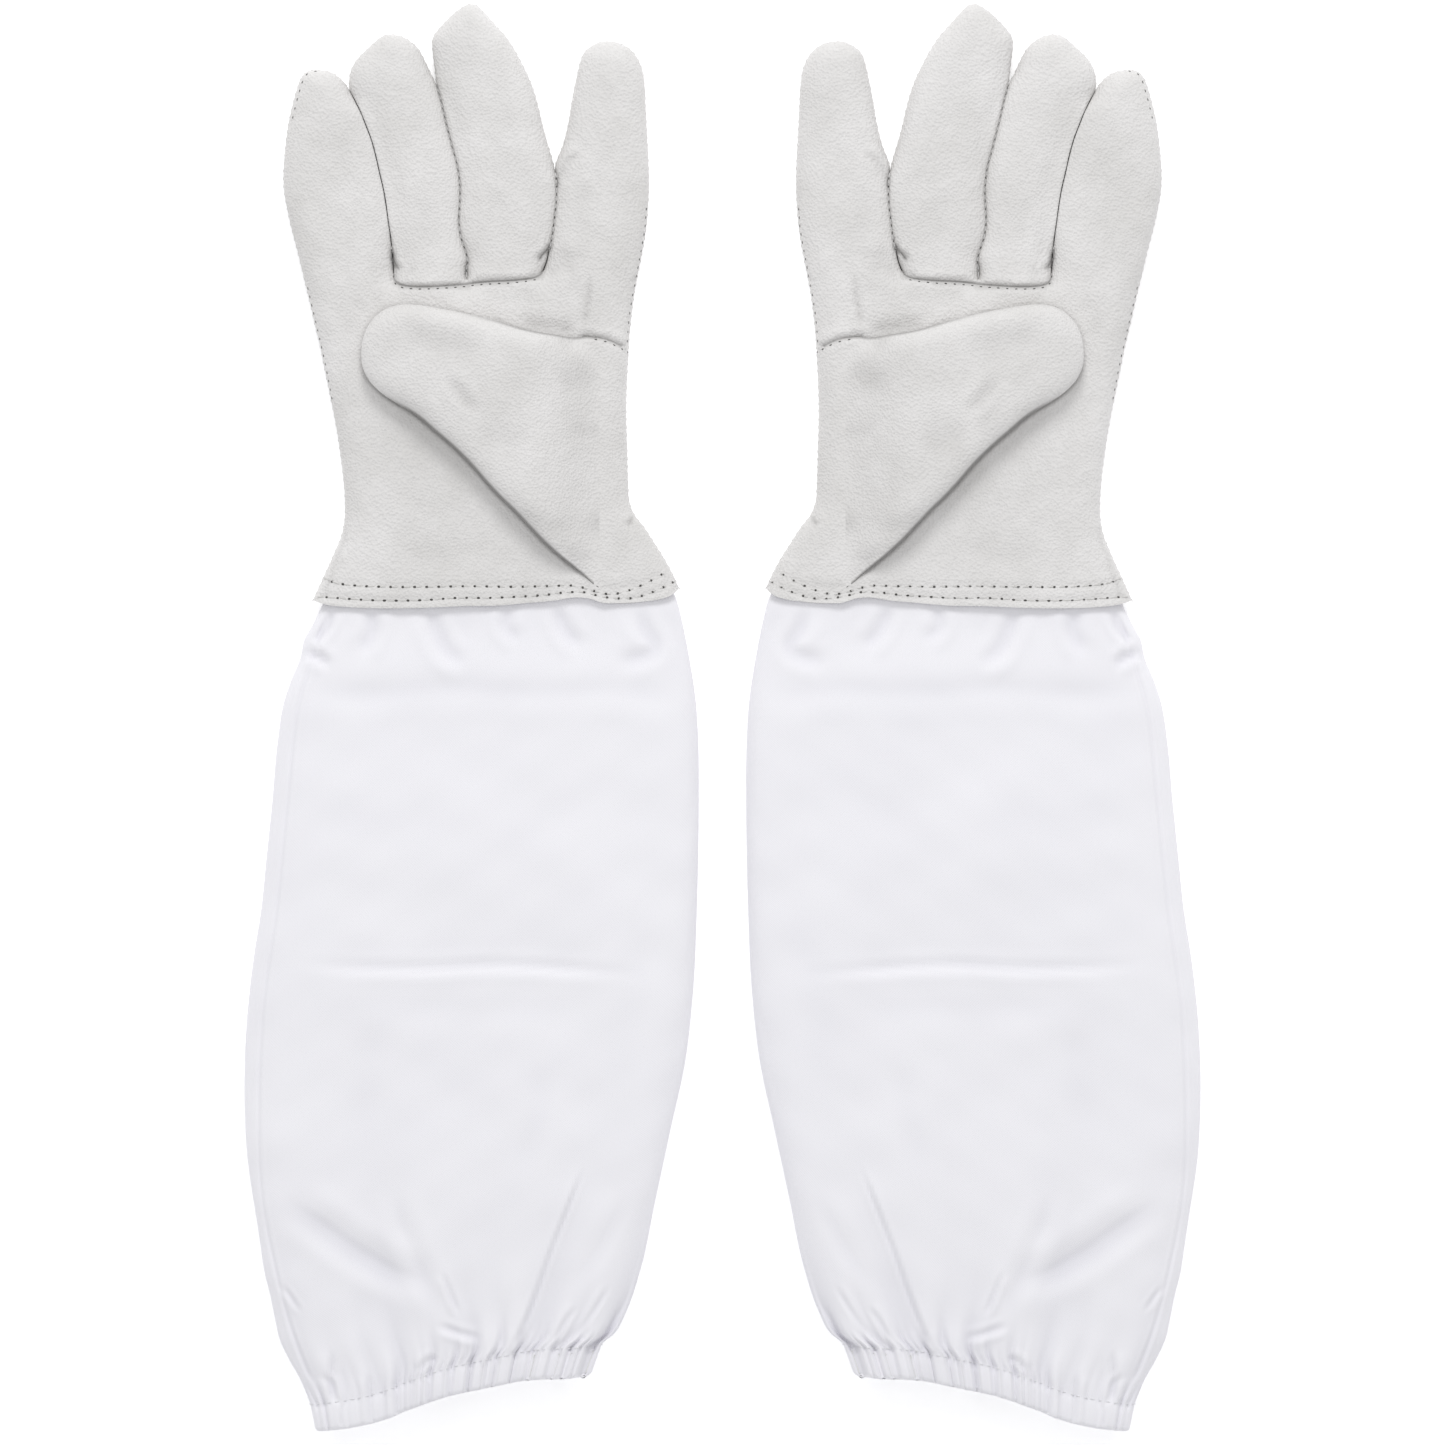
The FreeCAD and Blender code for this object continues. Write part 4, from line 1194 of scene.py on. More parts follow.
        # the knuckle and thumb seams are rows of near-black beads: painted shade for their needle holes
        seam = smooth_line([(x, y - 0.9) for x, y in self.knuckle_seam[:-2]], 0.8)
        knuckle = stitches.sew(
            "knuckle_hole_shade", side, [on_surface(tree, seam, Face.PALM, 0.0)],
            self.finishes.needle_hole, SEAM_PITCH, SEAM_HOLE,
        )
        thumb_line = smooth_line([(x, y - 1.0) for x, y in self.thumb_seam], 0.8)
        thumb = stitches.sew(
            "thumb_hole_shade", side, [on_surface(tree, thumb_line, Face.PALM, 0.0)],
            self.finishes.needle_hole, SEAM_PITCH, SEAM_HOLE,
        )
        for piece, node in ((cuff, "cuff_stitches"), (knuckle, "knuckle_stitches"), (thumb, "thumb_stitches")):
            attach(piece, f"{side.value}_hand")
            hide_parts(f"{side.value}_{node}")
        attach(cuff_holes, f"{side.value}_hand")
        self._sew_sides(side, stitches, tree)
        log.info("%s leather stitches", side.value)

    def _sew_sides(self, side: Side, stitches: StitchTree, tree: BVHTree) -> None:
        """Sews the overcast seams that join palm and back round the silhouette, piece by piece.

        Args:
            side: Which glove of the pair it is.
            stitches: The tree that makes the stitches.
            tree: The leather's surface, to lay seams on.
        """
        edge = self.silhouette
        beyond = edge[:, 1] > self.knuckle + 0.8
        rank = self._finger_of(edge)
        for index, finger in enumerate(FINGERS):
            run = edge[beyond & (rank == index)]
            path = np.column_stack([run, np.full(len(run), self.middle_height - 0.3)])
            piece = stitches.sew(
                f"{finger}_side_thread", side, [path], self.finishes.seam_thread, SIDE_PITCH, SIDE_STITCH
            )
            self.bend(piece, finger)
        below = edge[:, 1] < self.knuckle - 0.8
        runs = [edge[below & (edge[:, 0] > 90.0)], edge[below & (edge[:, 0] < 60.0)]]
        paths = [np.column_stack([run, np.full(len(run), self.middle_height - 0.3)]) for run in runs]
        # the seen seams are rows of near-black beads too: painted shade for their needle holes
        for name, finger, line in self.seen_seams:
            dots = stitches.sew(
                f"{name}_seam_dots", side, [on_surface(tree, smooth_line(line, 0.8), Face.PALM, 0.0)],
                self.finishes.needle_hole, DOT_PITCH, SEAM_DOT,
            )
            if finger:
                self.bend(dots, finger)
            else:
                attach(dots, f"{side.value}_hand")
        piece = stitches.sew("hand_side_thread", side, paths, self.finishes.seam_thread, SIDE_PITCH, SIDE_STITCH)
        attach(piece, f"{side.value}_hand")


def shift_path(path: np.ndarray, along: float) -> np.ndarray:
    """The line with its first stretch left out, so that what is spaced along it starts later."""
    run = np.r_[0.0, np.cumsum(np.linalg.norm(np.diff(path, axis=0), axis=1))]
    return path[run >= along]


# ---------------------------------------------------------------- the thumb


@dataclass
class Thumb:
    """The left thumb, folded across the palm: a flat pouch that grows out of the palm's leather."""

    finishes: Finishes
    hand: LeatherHand
    depth: float = 11.2
    root: float = 43.0
    full_at: float = 70.0
    bend_start: float = 52.0
    bend_end: float = 69.0
    free_edge: Points = THUMB_EDGE
    creases: tuple[Crease, ...] = (
        Crease(((106.0, 100.0), (95.0, 91.0), (85.0, 80.5), (74.0, 69.0)), 0.85, 2.0, 0.4),
        Crease(((98.5, 123.0), (95.5, 117.5), (92.0, 113.2), (87.5, 108.0)), 0.94, 1.8, 0.5, 0.2),
        Crease(((50.0, 74.0), (44.0, 70.0), (38.0, 66.0), (33.0, 59.0)), 1.5, 4.0, 0.4),
        Crease(((76.0, 76.0), (66.0, 69.0), (54.0, 66.0)), 0.59, 3.0, 0.4),
        Crease(((46.0, 128.0), (52.0, 121.0), (60.0, 118.0)), 0.85, 4.0, 0.4),
        Crease(((42.0, 106.0), (48.0, 103.0), (56.0, 104.0)), 0.68, 2.4, 0.4),
        Crease(((118.0, 138.0), (100.0, 134.0), (84.0, 130.0)), 0.68, 5.0),
        Crease(((70.0, 96.0), (80.0, 100.0), (90.0, 98.0)), 0.51, 5.0),
        Crease(((46.0, 60.0), (52.0, 57.5), (58.0, 60.0)), 0.85, 2.0),
    )

    def build(self) -> None:
        """Works out the pouch's skin over the palm that it lies on."""
        edge = smooth_line(self.free_edge, 1.4)
        base = np.column_stack([np.full(58, self.root), np.linspace(edge[-1, 1], edge[0, 1], 60)[1:-1]])
        xy, faces = fill_outline(np.vstack([edge, base]), [], 1.7)
        gap, _, _ = nearest(xy, edge)
        on_edge = gap < 1e-3
        palm = self.hand.palm_height(xy, nearest(xy, self.hand.silhouette)[0])
        smooth_palm = self.hand.middle_height + self.hand.palm_rise + 0.5
        clear = ease((xy[:, 0] - self.root) / 16.0)
        palm = palm * (1 - clear) + (smooth_palm + 0.25) * clear
        seam_gap, _, _ = nearest(xy, smooth_line(self.hand.thumb_seam, 1.0))
        foot_gap, _, _ = nearest(xy, np.array([(36.0, 44.0), (49.0, 48.2)]))
        thick = self.depth * ease((xy[:, 0] - self.root) / (self.full_at - self.root))
        thick *= ease((seam_gap + 0.4) / 9.0) * ease(foot_gap / 12.0)
        thick *= 1.0 - 0.25 * ease((xy[:, 0] - 100.0) / 32.0)
        inside = ease(gap / 4.0)
        rooted = ease((xy[:, 0] - self.root) / 9.0)
        front = palm - 0.1 + 0.25 * rooted + thick * (0.5 + 0.5 * rounded(gap / 8.0))
        front += inside * ease(thick / 6.0) * (
            total_of(self.creases, xy) + Ripple(0.3, 36.0, 21).at(xy) + 0.6 * (1 - np.exp(-gap / 18.0))
        )
        back = palm - 0.5 + 0.56 * rooted + thick * (0.5 - 0.5 * rounded(gap / 3.0))
        count = len(xy)
        lower = np.arange(count) + count
        lower[on_edge] = np.arange(count)[on_edge]
        points = np.vstack([np.column_stack([xy, front]), np.column_stack([xy, back])])
        self.skin = Skin(points, np.vstack([faces, lower[faces][:, ::-1]])).with_normals()
        # Painted shade: darker in the thumb's creases, a painted shadow line along its lower edge and the root end of
        # its upper edge, and faint shade on its underside near the lower edge.
        dark = np.clip(-total_of([Crease(c.path, c.depth * 0.3, c.width, 0.0) for c in self.creases], xy), 0, 0.5)
        under = ease((118.0 - xy[:, 1]) / 10.0)
        above = ease((xy[:, 1] - 120.0) / 6.0) * ease((98.0 - xy[:, 0]) / 28.0)
        turned = (0.9 * under + 0.6 * above) * ease(1.0 - gap / 1.1)
        self.skin.tone = np.concatenate([np.maximum(dark * 0.4, turned), 0.12 * under * ease(1.0 - gap / 3.0)])
        self.skin = self.skin.part(np.ones(len(self.skin.faces), dtype=bool))

    def dress(self, side: Side) -> None:
        """Makes this glove's thumb and hides the CAD thumb parts that it replaces.

        Args:
            side: Which glove of the pair it is.
        """
        piece = self.skin.to_object("thumb", side, self.finishes.leather)
        flip = -1.0 if side.mirrored else 1.0
        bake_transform(piece)
        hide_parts(f"{side.value}_thumb_front", f"{side.value}_thumb_back")
        log.info("%s thumb", side.value)


# ---------------------------------------------------------------- the sleeve


@dataclass(frozen=True)
class Gather:
    """One valley of the gathers: where it is across the hem, and how it runs up the sleeve."""

    across: float
    depth: float
    reach: float
    lean: float
    width: float


SIDE_SEAM: Points = (
    (142.6, 38.0), (147.4, 22.0), (152.2, 6.0), (156.6, -29.7), (160.4, -68.0), (165.6, -108.0), (166.8, -137.7),
    (165.6, -173.7), (161.6, -195.3), (155.6, -219.0), (147.8, -240.0),
)


@dataclass
class Sleeve:
    """The left canvas sleeve, from inside the leather cuff to the gathered hem.

    It is a flattened tube. A row of its grid runs across the palm face from the outer edge to
    the inner one, and back across the other face. Rows run from the cuff to the hem."""

    finishes: Finishes
    columns: int = 180
    top: float = 52.0
    outer_foot: float = -247.3
    inner_foot: float = -225.7
    half_depth: float = 6.9
    edge_reach: float = 15.0
    wall: float = 0.6
    casing: float = 10.2
    casing_ply: float = 2.4
    hem_width: float = 104.0
    hem_dip: float = 1.1
    hem_lift: float = 3.2
    hem_slant: tuple[float, float] = (6.0, -1.2)
    first_cut: float = 0.24
    second_cut: float = 0.64
    outer_edge: Points = (
        (140.2, 52.0), (141.6, 48.0), (144.2, 40.5), (148.2, 32.5), (150.9, 27.5), (151.6, 23.5),
        (152.6, 20.0), (155.0, 14.5), (157.8, 6.3), (160.4, -10.0), (162.1, -29.7), (164.4, -52.0),
        (166.0, -68.0), (168.8, -86.0), (171.4, -110.0), (172.2, -137.7), (171.0, -160.0), (169.3, -172.0),
        (168.0, -180.0), (166.5, -190.0), (165.0, -200.0), (163.0, -208.0), (161.2, -217.0), (159.6, -224.0),
        (156.2, -231.3), (152.2, -238.4), (149.6, -244.5), (147.6, -250.0), (145.6, -256.5), (145.2, -259.0),
    )
    inner_edge: Points = (
        (21.8, 52.0), (19.4, 48.0), (16.8, 43.0), (14.4, 34.0), (11.8, 20.7), (9.6, 6.0), (8.6, -12.0), (8.5, -29.7),
        (9.1, -65.7), (10.8, -101.7), (13.3, -123.3), (18.7, -148.5), (24.1, -173.7), (29.5, -198.9), (34.6, -214.0),
        (38.5, -221.5), (44.0, -226.5), (45.2, -231.0), (47.6, -237.2),
    )
    creases: tuple[Crease, ...] = (
        Crease(
            ((158.0, -88.0), (140.0, -89.6), (110.0, -90.2), (80.0, -89.2), (50.0, -90.8), (24.0, -92.5)),
            0.75, 1.8, 0.3, 0.35, 0.3,
        ),
        Crease(((146.0, -102.0), (110.0, -104.0), (70.0, -104.5), (40.0, -103.0)), 0.3, 5.0, 0.4),
        Crease(SIDE_SEAM, 0.42, 0.7, 0.5, 0.16, 0.02),
        Crease(
            ((154.0, 10.0), (128.0, 8.5), (100.0, 11.0), (70.0, 9.0), (40.0, 10.0), (14.0, 6.0)),
            0.5, 4.0, 0.3, 0.05, 0.15,
        ),
        Crease(((106.0, 41.0), (103.0, 30.0), (98.5, 22.5), (90.0, 18.8)), 1.2, 2.6, 0.4, 0.35),
        Crease(((31.0, 41.0), (28.0, 31.0), (25.0, 26.0), (40.0, 19.0)), 1.1, 2.6, 0.4, 0.35),
        Crease(((60.0, 41.0), (57.0, 32.0), (50.0, 24.0)), 1.1, 2.4, 0.5),
        Crease(((128.0, 40.0), (126.0, 32.0), (131.0, 22.0)), 1.1, 2.4, 0.5),
        Crease(((140.0, 40.0), (143.0, 32.0), (150.0, 25.0)), 1.1, 1.6, 0.5),
        Crease(((76.0, 41.0), (78.0, 33.0), (72.0, 27.0)), 0.9, 2.2, 0.5),
        Crease(((153.0, 24.0), (146.0, 22.0), (140.0, 18.0)), 1.3, 1.6, 0.5, 0.0, 0.3),
        Crease(
            ((160.0, -173.0), (145.0, -182.5), (130.0, -193.0), (115.0, -201.0), (103.0, -205.0)),
            1.5, 4.2, 0.4, -0.35,
        ),
        Crease(
            ((49.0, -160.0), (56.0, -178.0), (61.5, -192.0), (67.0, -208.0), (71.5, -219.0), (76.5, -229.0)),
            0.7, 0.8, 0.5, 0.3, 0.2,
        ),
        Crease(((118.0, -168.0), (114.0, -186.0), (106.0, -204.0), (100.0, -218.0)), 0.7, 3.0, 0.5),
        Crease(((64.0, -122.0), (67.0, -145.0), (74.0, -170.0)), 0.35, 5.0, 0.5),
        Crease(((126.0, -104.0), (128.0, -130.0), (132.0, -160.0)), 0.3, 6.0, 0.5),
        Crease(((100.6, -199.0), (98.6, -206.0), (96.2, -212.0), (94.8, -216.0)), 0.8, 0.9, 0.5, 0.25),
        Crease(((103.0, -218.5), (95.0, -221.6), (86.5, -223.8)), 0.8, 1.2, 0.5, 0.3),
        Crease(((40.0, -203.0), (46.0, -213.0), (51.0, -220.0), (55.5, -226.0)), 0.6, 0.9, 0.5, 0.2),
        Crease(((71.8, -219.5), (72.6, -224.0), (72.8, -229.5)), 0.7, 1.3, 0.4),
        Crease(((102.0, -230.0), (106.0, -231.4), (109.5, -235.5)), 0.7, 1.0, 0.5, 0.2),
        Crease(((140.2, -227.0), (140.6, -236.0), (139.6, -244.5)), 0.8, 0.9, 0.4, 0.2),
        Crease(((136.8, -246.0), (136.9, -256.0)), 0.5, 0.7, 0.4, 0.2, 0.2),
        Crease(((159.0, -204.0), (155.5, -208.5), (151.5, -214.5)), 0.45, 0.9, 0.5, 0.15),
        Crease(((52.0, -211.0), (57.0, -218.0), (61.0, -225.0)), 0.6, 0.9, 0.5, 0.2),
        Crease(((127.6, -236.0), (127.2, -246.0), (126.8, -256.0)), 0.6, 1.0, 0.4, 0.2, 0.2),
        Crease(((143.0, -236.0), (140.6, -242.0), (139.6, -247.0)), 1.3, 1.2, 0.5, 0.2),
        Crease(((151.0, -238.0), (148.6, -244.0), (146.0, -250.0)), 0.9, 1.2, 0.5),
        Crease(((34.0, -170.0), (44.0, -190.0), (56.0, -208.0)), 0.4, 2.5, 0.5, 0.15),
        Crease(((150.0, -30.0), (120.0, -38.0), (90.0, -36.0)), 0.3, 8.0, 0.5),
        Crease(((30.0, -20.0), (60.0, -34.0), (84.0, -56.0)), 0.25, 8.0, 0.5),
        Crease(((24.0, -60.0), (34.0, -100.0), (40.0, -140.0)), 0.3, 7.0, 0.5),
    )

    def gathers(self, face: Face) -> list[Gather]:
        """The valleys of one face's gathers, unevenly spaced and of uneven reach.

        Args:
            face: Which face of the sleeve.

        Returns:
            The valleys, from the outer edge to the inner one, layer by layer.
        """
        rng = np.random.default_rng(31 if face is Face.PALM else 57)
        layers = (
            ((2.3, 4.2), (4.0, 12.0), (0.8, 1.8), 0.8),
            ((6.0, 10.0), (10.0, 24.0), (1.0, 2.0), 1.6),
            ((16.0, 30.0), (35.0, 75.0), (1.0, 1.9), 2.8),
            ((1.5, 2.7), (3.0, 9.0), (0.3, 0.8), 0.62),
        )
        out = []
        for spacing, reach, depth, width in layers:
            at = float(rng.uniform(0.5, spacing[0]))
            while at < self.hem_width - 0.5:
                calm = 0.45 + 0.55 * float(ease((at - 8.0) / 30.0))
                lean, spread = rng.uniform(-0.16, 0.16), rng.uniform(0.8, 1.2)
                out.append(
                    Gather(
                        at,
                        calm * float(rng.uniform(*depth)),
                        float(rng.uniform(*reach)),
                        float(lean),
                        width * float(spread),
                    )
                )
                at += float(rng.uniform(*spacing)) * (1.25 - 0.45 * at / self.hem_width)
        return out

    def edges_at(self, share: np.ndarray) -> tuple[np.ndarray, np.ndarray]:
        """The outer and inner edge points of rows, 0 at the cuff and 1 at the hem's upper stitching.

        Args:
            share: How far down the sleeve each row is.

        Returns:
            The outer edge's points and the inner edge's.
        """
        out = []
        for points, foot in ((self.outer_edge, self.outer_foot), (self.inner_edge, self.inner_foot)):
            line = smooth_line(points, 1.0)
            y = self.top + (foot - self.top) * share
            x = np.interp(-y, -line[:, 1], line[:, 0])
            out.append(np.column_stack([x, y]))
        return out[0], out[1]

    def across(self) -> np.ndarray:
        """Places across one face from 1 at the outer edge to -1 at the inner edge, closer at both."""
        s = np.linspace(1.0, -1.0, self.columns + 1)
        return 0.4 * s + 0.6 * np.sin(s * math.pi / 2)

    def surface(self, share: np.ndarray, below: np.ndarray, inset: float = 0.0) -> tuple[np.ndarray, np.ndarray]:
        """The tube's points for rows.

        Args:
            share: Each row's place, 0 at the cuff to 1 at the hem's upper stitching.
            below: How far each row lies past that stitching.
            inset: How far the rows lie inside the outer surface.

        Returns:
            Points, rows by columns, and the painted shade of the creases and gathers at each.
        """
        outer, inner = self.edges_at(np.minimum(share, 1.0))
        run = inner[-1] - outer[-1]
        down = np.array([run[1], -run[0]]) / np.linalg.norm(run)
        down = down if down[1] < 0 else -down
        outer, inner = outer + below[:, None] * down, inner + below[:, None] * down
        inner = inner + (below / self.casing)[:, None] * np.array(self.hem_slant)
        a = self.across()
        place = np.concatenate([a, a[-2:0:-1]])
        palm = np.concatenate([np.ones(len(a)), -np.ones(len(a) - 2)])
        middle, reach = (outer + inner) / 2, (outer - inner) / 2
        length = np.linalg.norm(reach, axis=1)
        shrink = (length - inset) / length
        xy = middle[:, None] + reach[:, None] * (place[None, :, None] * shrink[:, None, None])
        turn = (1 - place) / 2
        wave = self.hem_lift * ease((turn - 0.22) / 0.3) * ease((1 - turn) / 0.27)
        wave -= self.hem_dip * np.sin(np.clip(turn / 0.32, 0, 1) * math.pi)
        xy[..., 1] += ease((share - 0.78) / 0.22)[:, None] * wave[None]
        gap = (1 - np.abs(place))[None] * (length - inset)[:, None]
        rows, columns = gap.shape
        flat = xy.reshape(-1, 2)
        y = flat[:, 1].reshape(rows, columns)
        half = 5.3 + (self.half_depth - 5.3) * ease((34.0 - y) / 22.0) + 0.9 * ease((10.0 - y) / 60.0) * ease(
            (y + 232.0) / 60.0
        )
        half = half - inset
        level = np.maximum(half + inset, 7.0)
        reach_of = np.where(palm > 0, self.edge_reach, 7.0)[None]
        height = rounded(gap / (reach_of * (0.75 + 0.25 * ease((length / 60.0) - 0.4))[:, None]))
        z = level + palm[None] * half * height
        inside = ease(gap / 4.0) * ease((44.0 - y) / 8.0)
        dents = total_of(self.creases, flat).reshape(rows, columns)
        soft = (Ripple(0.55, 60.0, 41).at(flat) + Ripple(0.2, 24.0, 43).at(flat)).reshape(rows, columns)
        under = np.abs(Ripple(0.5, 50.0, 47).at(flat)).reshape(rows, columns)
        z += np.where(palm[None] > 0, inside * (dents + soft), inside * under)
        pleats = self._pleats(place, palm, share, below, length)
        z -= palm[None] * ease(gap / 2.5) * pleats
        z = np.maximum(z, 0.02 + inset)
        # painted shade: darker in the creases on the palm face and in the gathers' valleys
        dark = np.clip(-dents * 0.22, 0, 0.35) * (palm[None] > 0) + np.clip(pleats * 0.13, 0, 0.3)
        return np.dstack([xy, z]), dark

    def _pleats(
        self, place: np.ndarray, palm: np.ndarray, share: np.ndarray, below: np.ndarray, length: np.ndarray
    ) -> np.ndarray:
        """How far the gathers sink the surface, rows by columns.

        Args:
            place: Places across a face, from 1 to -1.
            palm: Which face each place is on.
            share: How far down the sleeve each row is.
            below: How far below the hem's stitching each row is.
            length: Half the width of each row.

        Returns:
            How far each point sinks inwards.
        """
        up = (1.0 - np.minimum(share, 1.0)) * SLEEVE_LENGTH
        full = float(length[-1] * 2)
        total = np.zeros((len(share), len(place)))
        for face in Face:
            chosen = palm == face.value
            across = (1 - place[chosen]) / 2 * full
            for valley in self.gathers(face):
                fade = np.exp(-((up / valley.reach) ** 1.5)) * (1.0 - 0.3 * ease((below - 0.5) / 2.5))
                centre = valley.across * full / self.hem_width + valley.lean * up
                off = np.abs(across[None] - centre[:, None]) / (valley.width * (1 + 0.03 * up))[:, None]
                shape = np.exp(-(off**1.5)) - 0.25 * np.exp(-((off - 2.0) ** 2))
                total[:, chosen] += valley.depth * fade[:, None] * shape
        ditch = 0.1 * np.exp(-(((below - up) / 0.9) ** 2))
        puff = 0.35 * np.sin(np.clip(below / self.casing, 0, 1) * math.pi)
        return total + (ditch - puff)[:, None]

    def grid(self, points: np.ndarray, dark: np.ndarray) -> Skin:
        """A skin from rows of points that close on themselves.

        Args:
            points: The points, rows by columns.
            dark: How much painted shade darkens each of them.

        Returns:
            The skin, with its painted shade, weave and normals.
        """
        rows, columns = points.shape[:2]
        index = np.arange(rows * columns).reshape(rows, columns)
        right = np.roll(index, -1, axis=1)
        a, b, c, d = index[:-1], right[:-1], right[1:], index[1:]
        faces = np.concatenate([np.dstack([a, b, c]).reshape(-1, 3), np.dstack([a, c, d]).reshape(-1, 3)])
        skin = Skin(points.reshape(-1, 3), faces)
        middle = points.mean(axis=(0, 1))
        if (skin.face_normals() * (skin.points[faces].mean(1) - middle) * (1, 0, 1)).sum() < 0:
            skin.faces = faces[:, ::-1].copy()
        skin.tone = dark.reshape(-1)
        flat = np.cumsum(np.linalg.norm(np.diff(points, axis=1, prepend=points[:, :1]), axis=2), axis=1)
        turn = columns // 2
        flat = np.where(np.arange(columns)[None] <= turn, flat, 2 * flat[:, turn : turn + 1] - flat)
        down = np.cumsum(np.linalg.norm(np.diff(points[:, 4], axis=0, prepend=points[:1, 4]), axis=1))
        skin.weave = np.dstack([flat, np.broadcast_to(down[:, None], flat.shape)]).reshape(-1, 2)
        return skin.with_normals()

    def build(self) -> None:
        """Works out the sleeve's three lengths of cloth and the hem's turned-up band."""
        upper = np.linspace(0.0, self.first_cut, 42)
        middle = np.linspace(self.first_cut, self.second_cut, 68)[1:]
        lower = np.linspace(self.second_cut, 1.0, 96)[1:]
        share = np.concatenate([upper, middle, lower])
        below = np.zeros(len(share))
        band = np.linspace(0.0, self.casing - 1.2, 14)[1:]
        share = np.concatenate([share, np.ones(len(band))])
        below = np.concatenate([below, band])
        points, dark = self.surface(share, below)
        turned, _ = self.surface(np.ones(14), np.linspace(self.casing - 1.2, 0.8, 14), self.casing_ply)
        tip, _ = self.surface(np.ones(3), np.array([self.casing - 0.4, self.casing, self.casing - 0.4]))
        shrink, _ = self.surface(
            np.ones(3), np.array([self.casing - 0.4, self.casing, self.casing - 0.4]), self.casing_ply
        )
        share_in = np.array([0.15, 0.5, 0.85])[:, None, None]
        tip = tip * (1 - share_in) + shrink * share_in
        points = np.concatenate([points, tip, turned])
        dark = np.concatenate([dark, np.zeros((len(tip) + len(turned), dark.shape[1]))])
        self.skin = self.grid(points, dark)
        columns = points.shape[1]
        row = np.minimum.reduce(self.skin.faces // columns, axis=1)
        first, second = len(upper) - 1, len(upper) + len(middle) - 1
        self.parts = {
            "upper": self.skin.part(row < first),
            "middle": self.skin.part((row >= first) & (row < second)),
            "lower": self.skin.part(row >= second),
        }
        self.hem_row = len(upper) + len(middle) + len(lower) - 1
        self.points = points

    def dress(self, side: Side) -> None:
        """Makes this glove's canvas pieces, ties the lowest one to its CAD body, and hides the CAD sleeve parts that
        they replace.

        Args:
            side: Which glove of the pair it is.
        """
        s = side.value
        canvas = self.finishes.canvas
        made = {k: v.thickened(self.wall).to_object(f"canvas_{k}", side, canvas) for k, v in self.parts.items()}
        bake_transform(made["upper"])
        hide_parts(f"{s}_sleeve_lap", f"{s}_sleeve_upper")
        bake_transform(made["middle"])
        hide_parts(f"{s}_sleeve_lower")
        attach(made["lower"], f"{s}_lower_sleeve")
        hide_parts(f"{s}_hem_casing")
        log.info("%s canvas sleeve in three lengths", s)

    def sew(self, side: Side, stitches: StitchTree) -> None:
        """Sews the hem, and adds the elastic inside the hem.

        Args:
            side: Which glove of the pair it is.
            stitches: The tree that makes the stitches.
        """
        s = side.value
        row = self.points[self.hem_row]
        loop = np.vstack([row, row[:1]])
        outward = self.skin.normals.reshape(self.points.shape)[self.hem_row]
        loop = loop + 0.1 * np.vstack([outward, outward[:1]])
        hem = stitches.sew("hem_thread", side, [loop], self.finishes.canvas_thread, HEM_PITCH, HEM_STITCH)
        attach(hem, f"{s}_lower_sleeve")
        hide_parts(f"{s}_hem_stitches")
        elastic = self._elastic().to_object("elastic", side, self.finishes.elastic)
        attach(elastic, f"{s}_lower_sleeve")
        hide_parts(f"{s}_hem_elastic")
        log.info("%s hem stitches and elastic", s)

    def _elastic(self) -> Skin:
        """The flat elastic band that runs round inside the hem.

        Returns:
            The band's closed skin.
        """
        rows = np.array([1.6, 4.0, 6.5, 9.0])
        outside, _ = self.surface(np.ones(4), rows, 0.9)
        inside, _ = self.surface(np.ones(4), rows[::-1], 1.6)
        ring = np.concatenate([outside, inside, outside[:1]])
        rows_n, columns = ring.shape[0] - 1, ring.shape[1]
        index = np.arange(rows_n * columns).reshape(rows_n, columns)
        nxt, right = np.roll(index, -1, axis=0), np.roll(index, -1, axis=1)
        corner = np.roll(nxt, -1, axis=1)
        faces = np.concatenate([
            np.dstack([index, nxt, corner]).reshape(-1, 3),
            np.dstack([index, corner, right]).reshape(-1, 3),
        ])
        skin = Skin(ring[:-1].reshape(-1, 3), faces)
        middle = skin.points.mean(0)
        volume = (skin.face_normals() * (skin.points[faces].mean(1) - middle)).sum()
        if volume < 0:
            skin.faces = faces[:, ::-1].copy()
        return skin.with_normals()


# ---------------------------------------------------------------- the studio


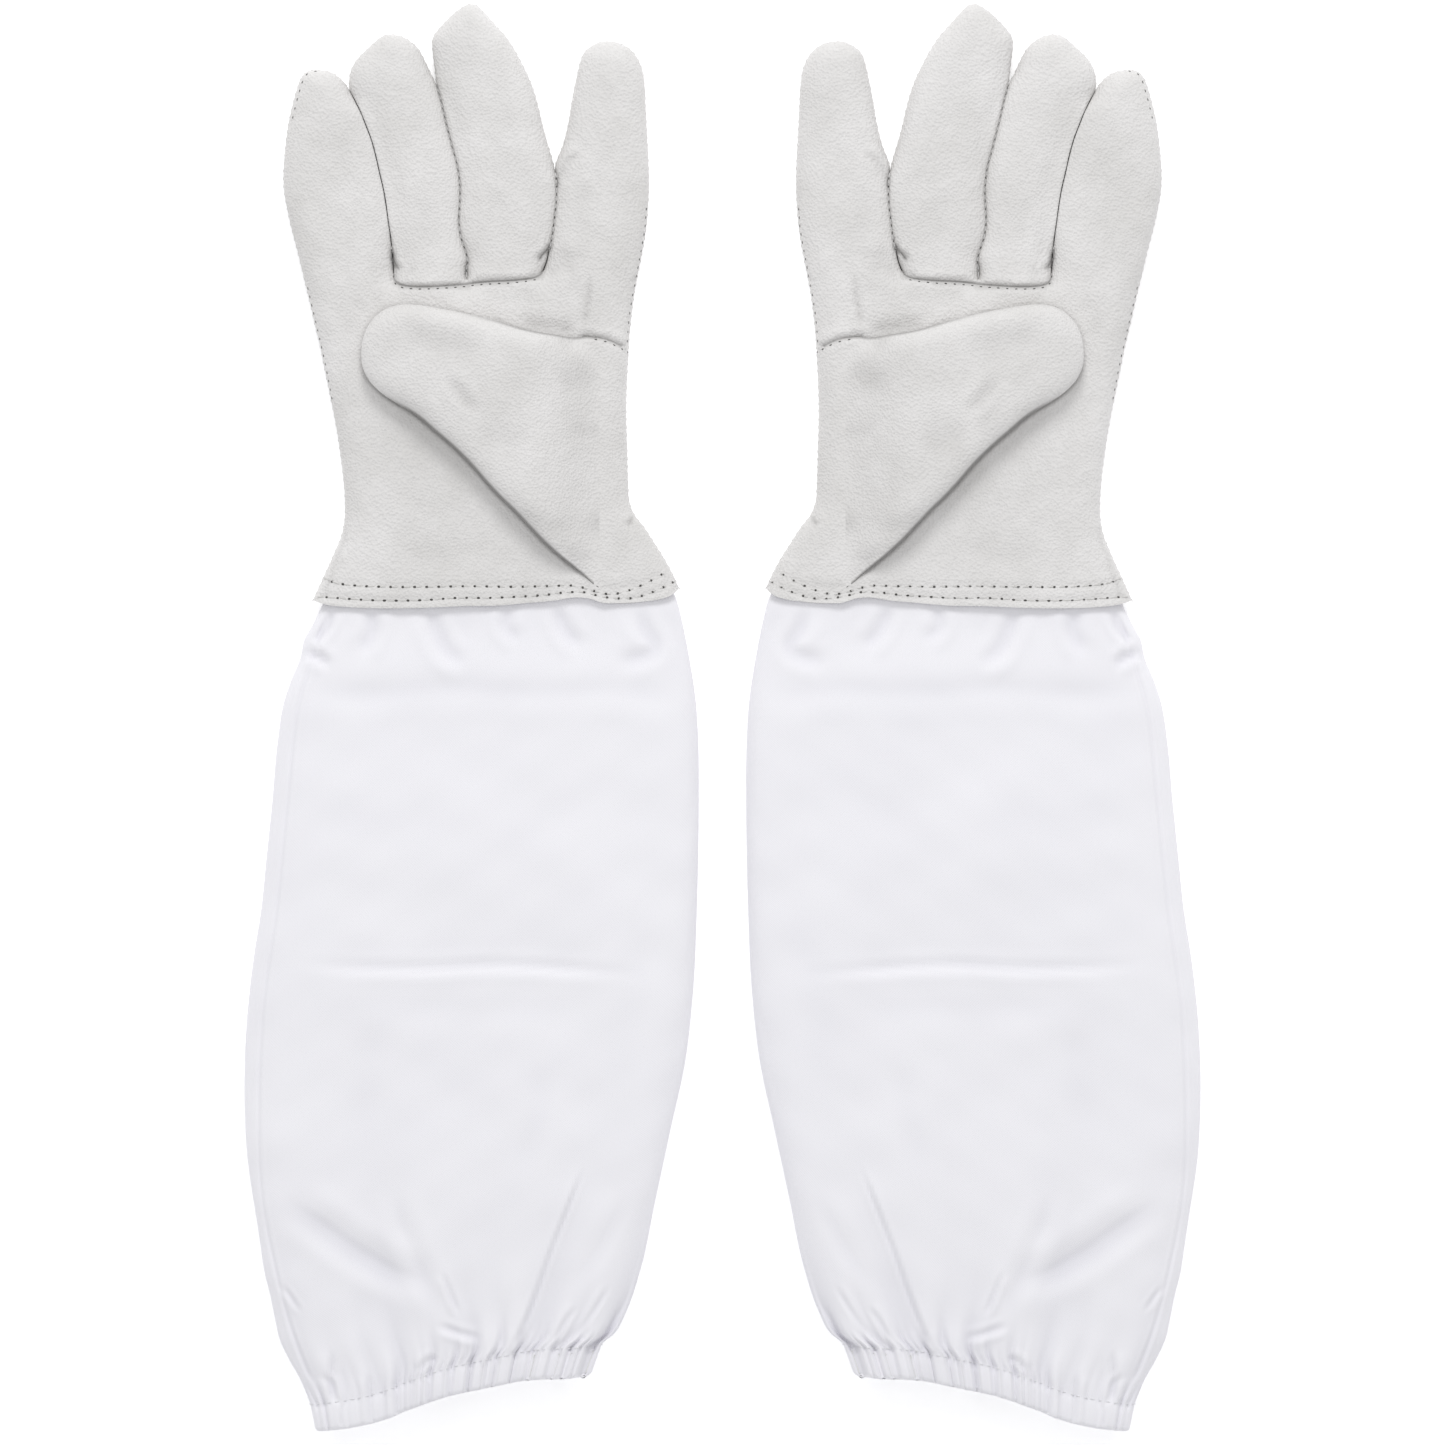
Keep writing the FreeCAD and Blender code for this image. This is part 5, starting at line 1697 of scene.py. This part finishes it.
@dataclass(frozen=True)
class Studio:
    """A pale table, soft light and a camera straight above the gloves."""

    view_width: float = 0.5202
    centre: tuple[float, float] = (0.0, -0.0018)
    distance: float = 4.0
    sensor: float = 36.0

    def build(self) -> None:
        """Makes the table, the lights and the camera."""
        self._table()
        self._lights()
        self._camera()
        log.info("table, lights and camera")

    def _table(self) -> None:
        """A wide flat table top just under the gloves."""
        mesh = bpy.data.meshes.new("table")
        r = 4.0
        mesh.from_pydata([(-r, -r, -0.0003), (r, -r, -0.0003), (r, r, -0.0003), (-r, r, -0.0003)], [], [(0, 1, 2, 3)])
        mesh.materials.append(FloorFinish().make())
        table = bpy.data.objects.new("table", mesh)
        bpy.context.scene.collection.objects.link(table)

    def _lights(self) -> None:
        """An even sky, a large soft lamp above, and a key lamp from the fingertips' side."""
        world = bpy.data.worlds.new("studio_sky")
        bpy.context.scene.world = world
        world.use_nodes = True
        world.node_tree.nodes["Background"].inputs[0].default_value = (0.98, 0.985, 1.0, 1.0)
        world.node_tree.nodes["Background"].inputs[1].default_value = 0.66
        lamps = (
            ("overhead", (0.0, 0.1, 2.2), 1.6, 6.0),
            ("fingertip_side", (0.0, 1.9, 1.7), 0.9, 24.0),
        )
        for name, place, width, power in lamps:
            lamp = bpy.data.lights.new(name, "AREA")
            lamp.shape, lamp.size, lamp.energy = "DISK", width, power
            holder = bpy.data.objects.new(name, lamp)
            holder.location = place
            holder.rotation_euler = (Vector((0, 0, 0)) - Vector(place)).to_track_quat("-Z", "Y").to_euler()
            bpy.context.scene.collection.objects.link(holder)
        bpy.context.scene.view_settings.view_transform = "Standard"

    def _camera(self) -> None:
        """A long lens straight above, so that the gloves fill the frame without perspective."""
        lens = bpy.data.cameras.new("camera")
        lens.sensor_width = self.sensor
        lens.lens = self.sensor * (self.distance - 0.01) / self.view_width
        lens.clip_end = 20.0
        camera = bpy.data.objects.new("camera", lens)
        camera.location = (*self.centre, self.distance)
        bpy.context.scene.collection.objects.link(camera)
        bpy.context.scene.camera = camera


def main() -> None:
    """Builds both gloves and the studio."""
    logging.basicConfig(level=logging.INFO, format="%(name)s: %(message)s")
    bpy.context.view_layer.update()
    finishes = Finishes()
    stitches = StitchTree()
    hand = LeatherHand(finishes)
    hand.build()
    thumb = Thumb(finishes, hand)
    thumb.build()
    sleeve = Sleeve(finishes)
    sleeve.build()
    for side in Side:
        hand.dress(side)
        hand.sew(side, stitches)
        thumb.dress(side)
        sleeve.dress(side)
        sleeve.sew(side, stitches)
    Studio().build()


if __name__ == "__main__":
    main()
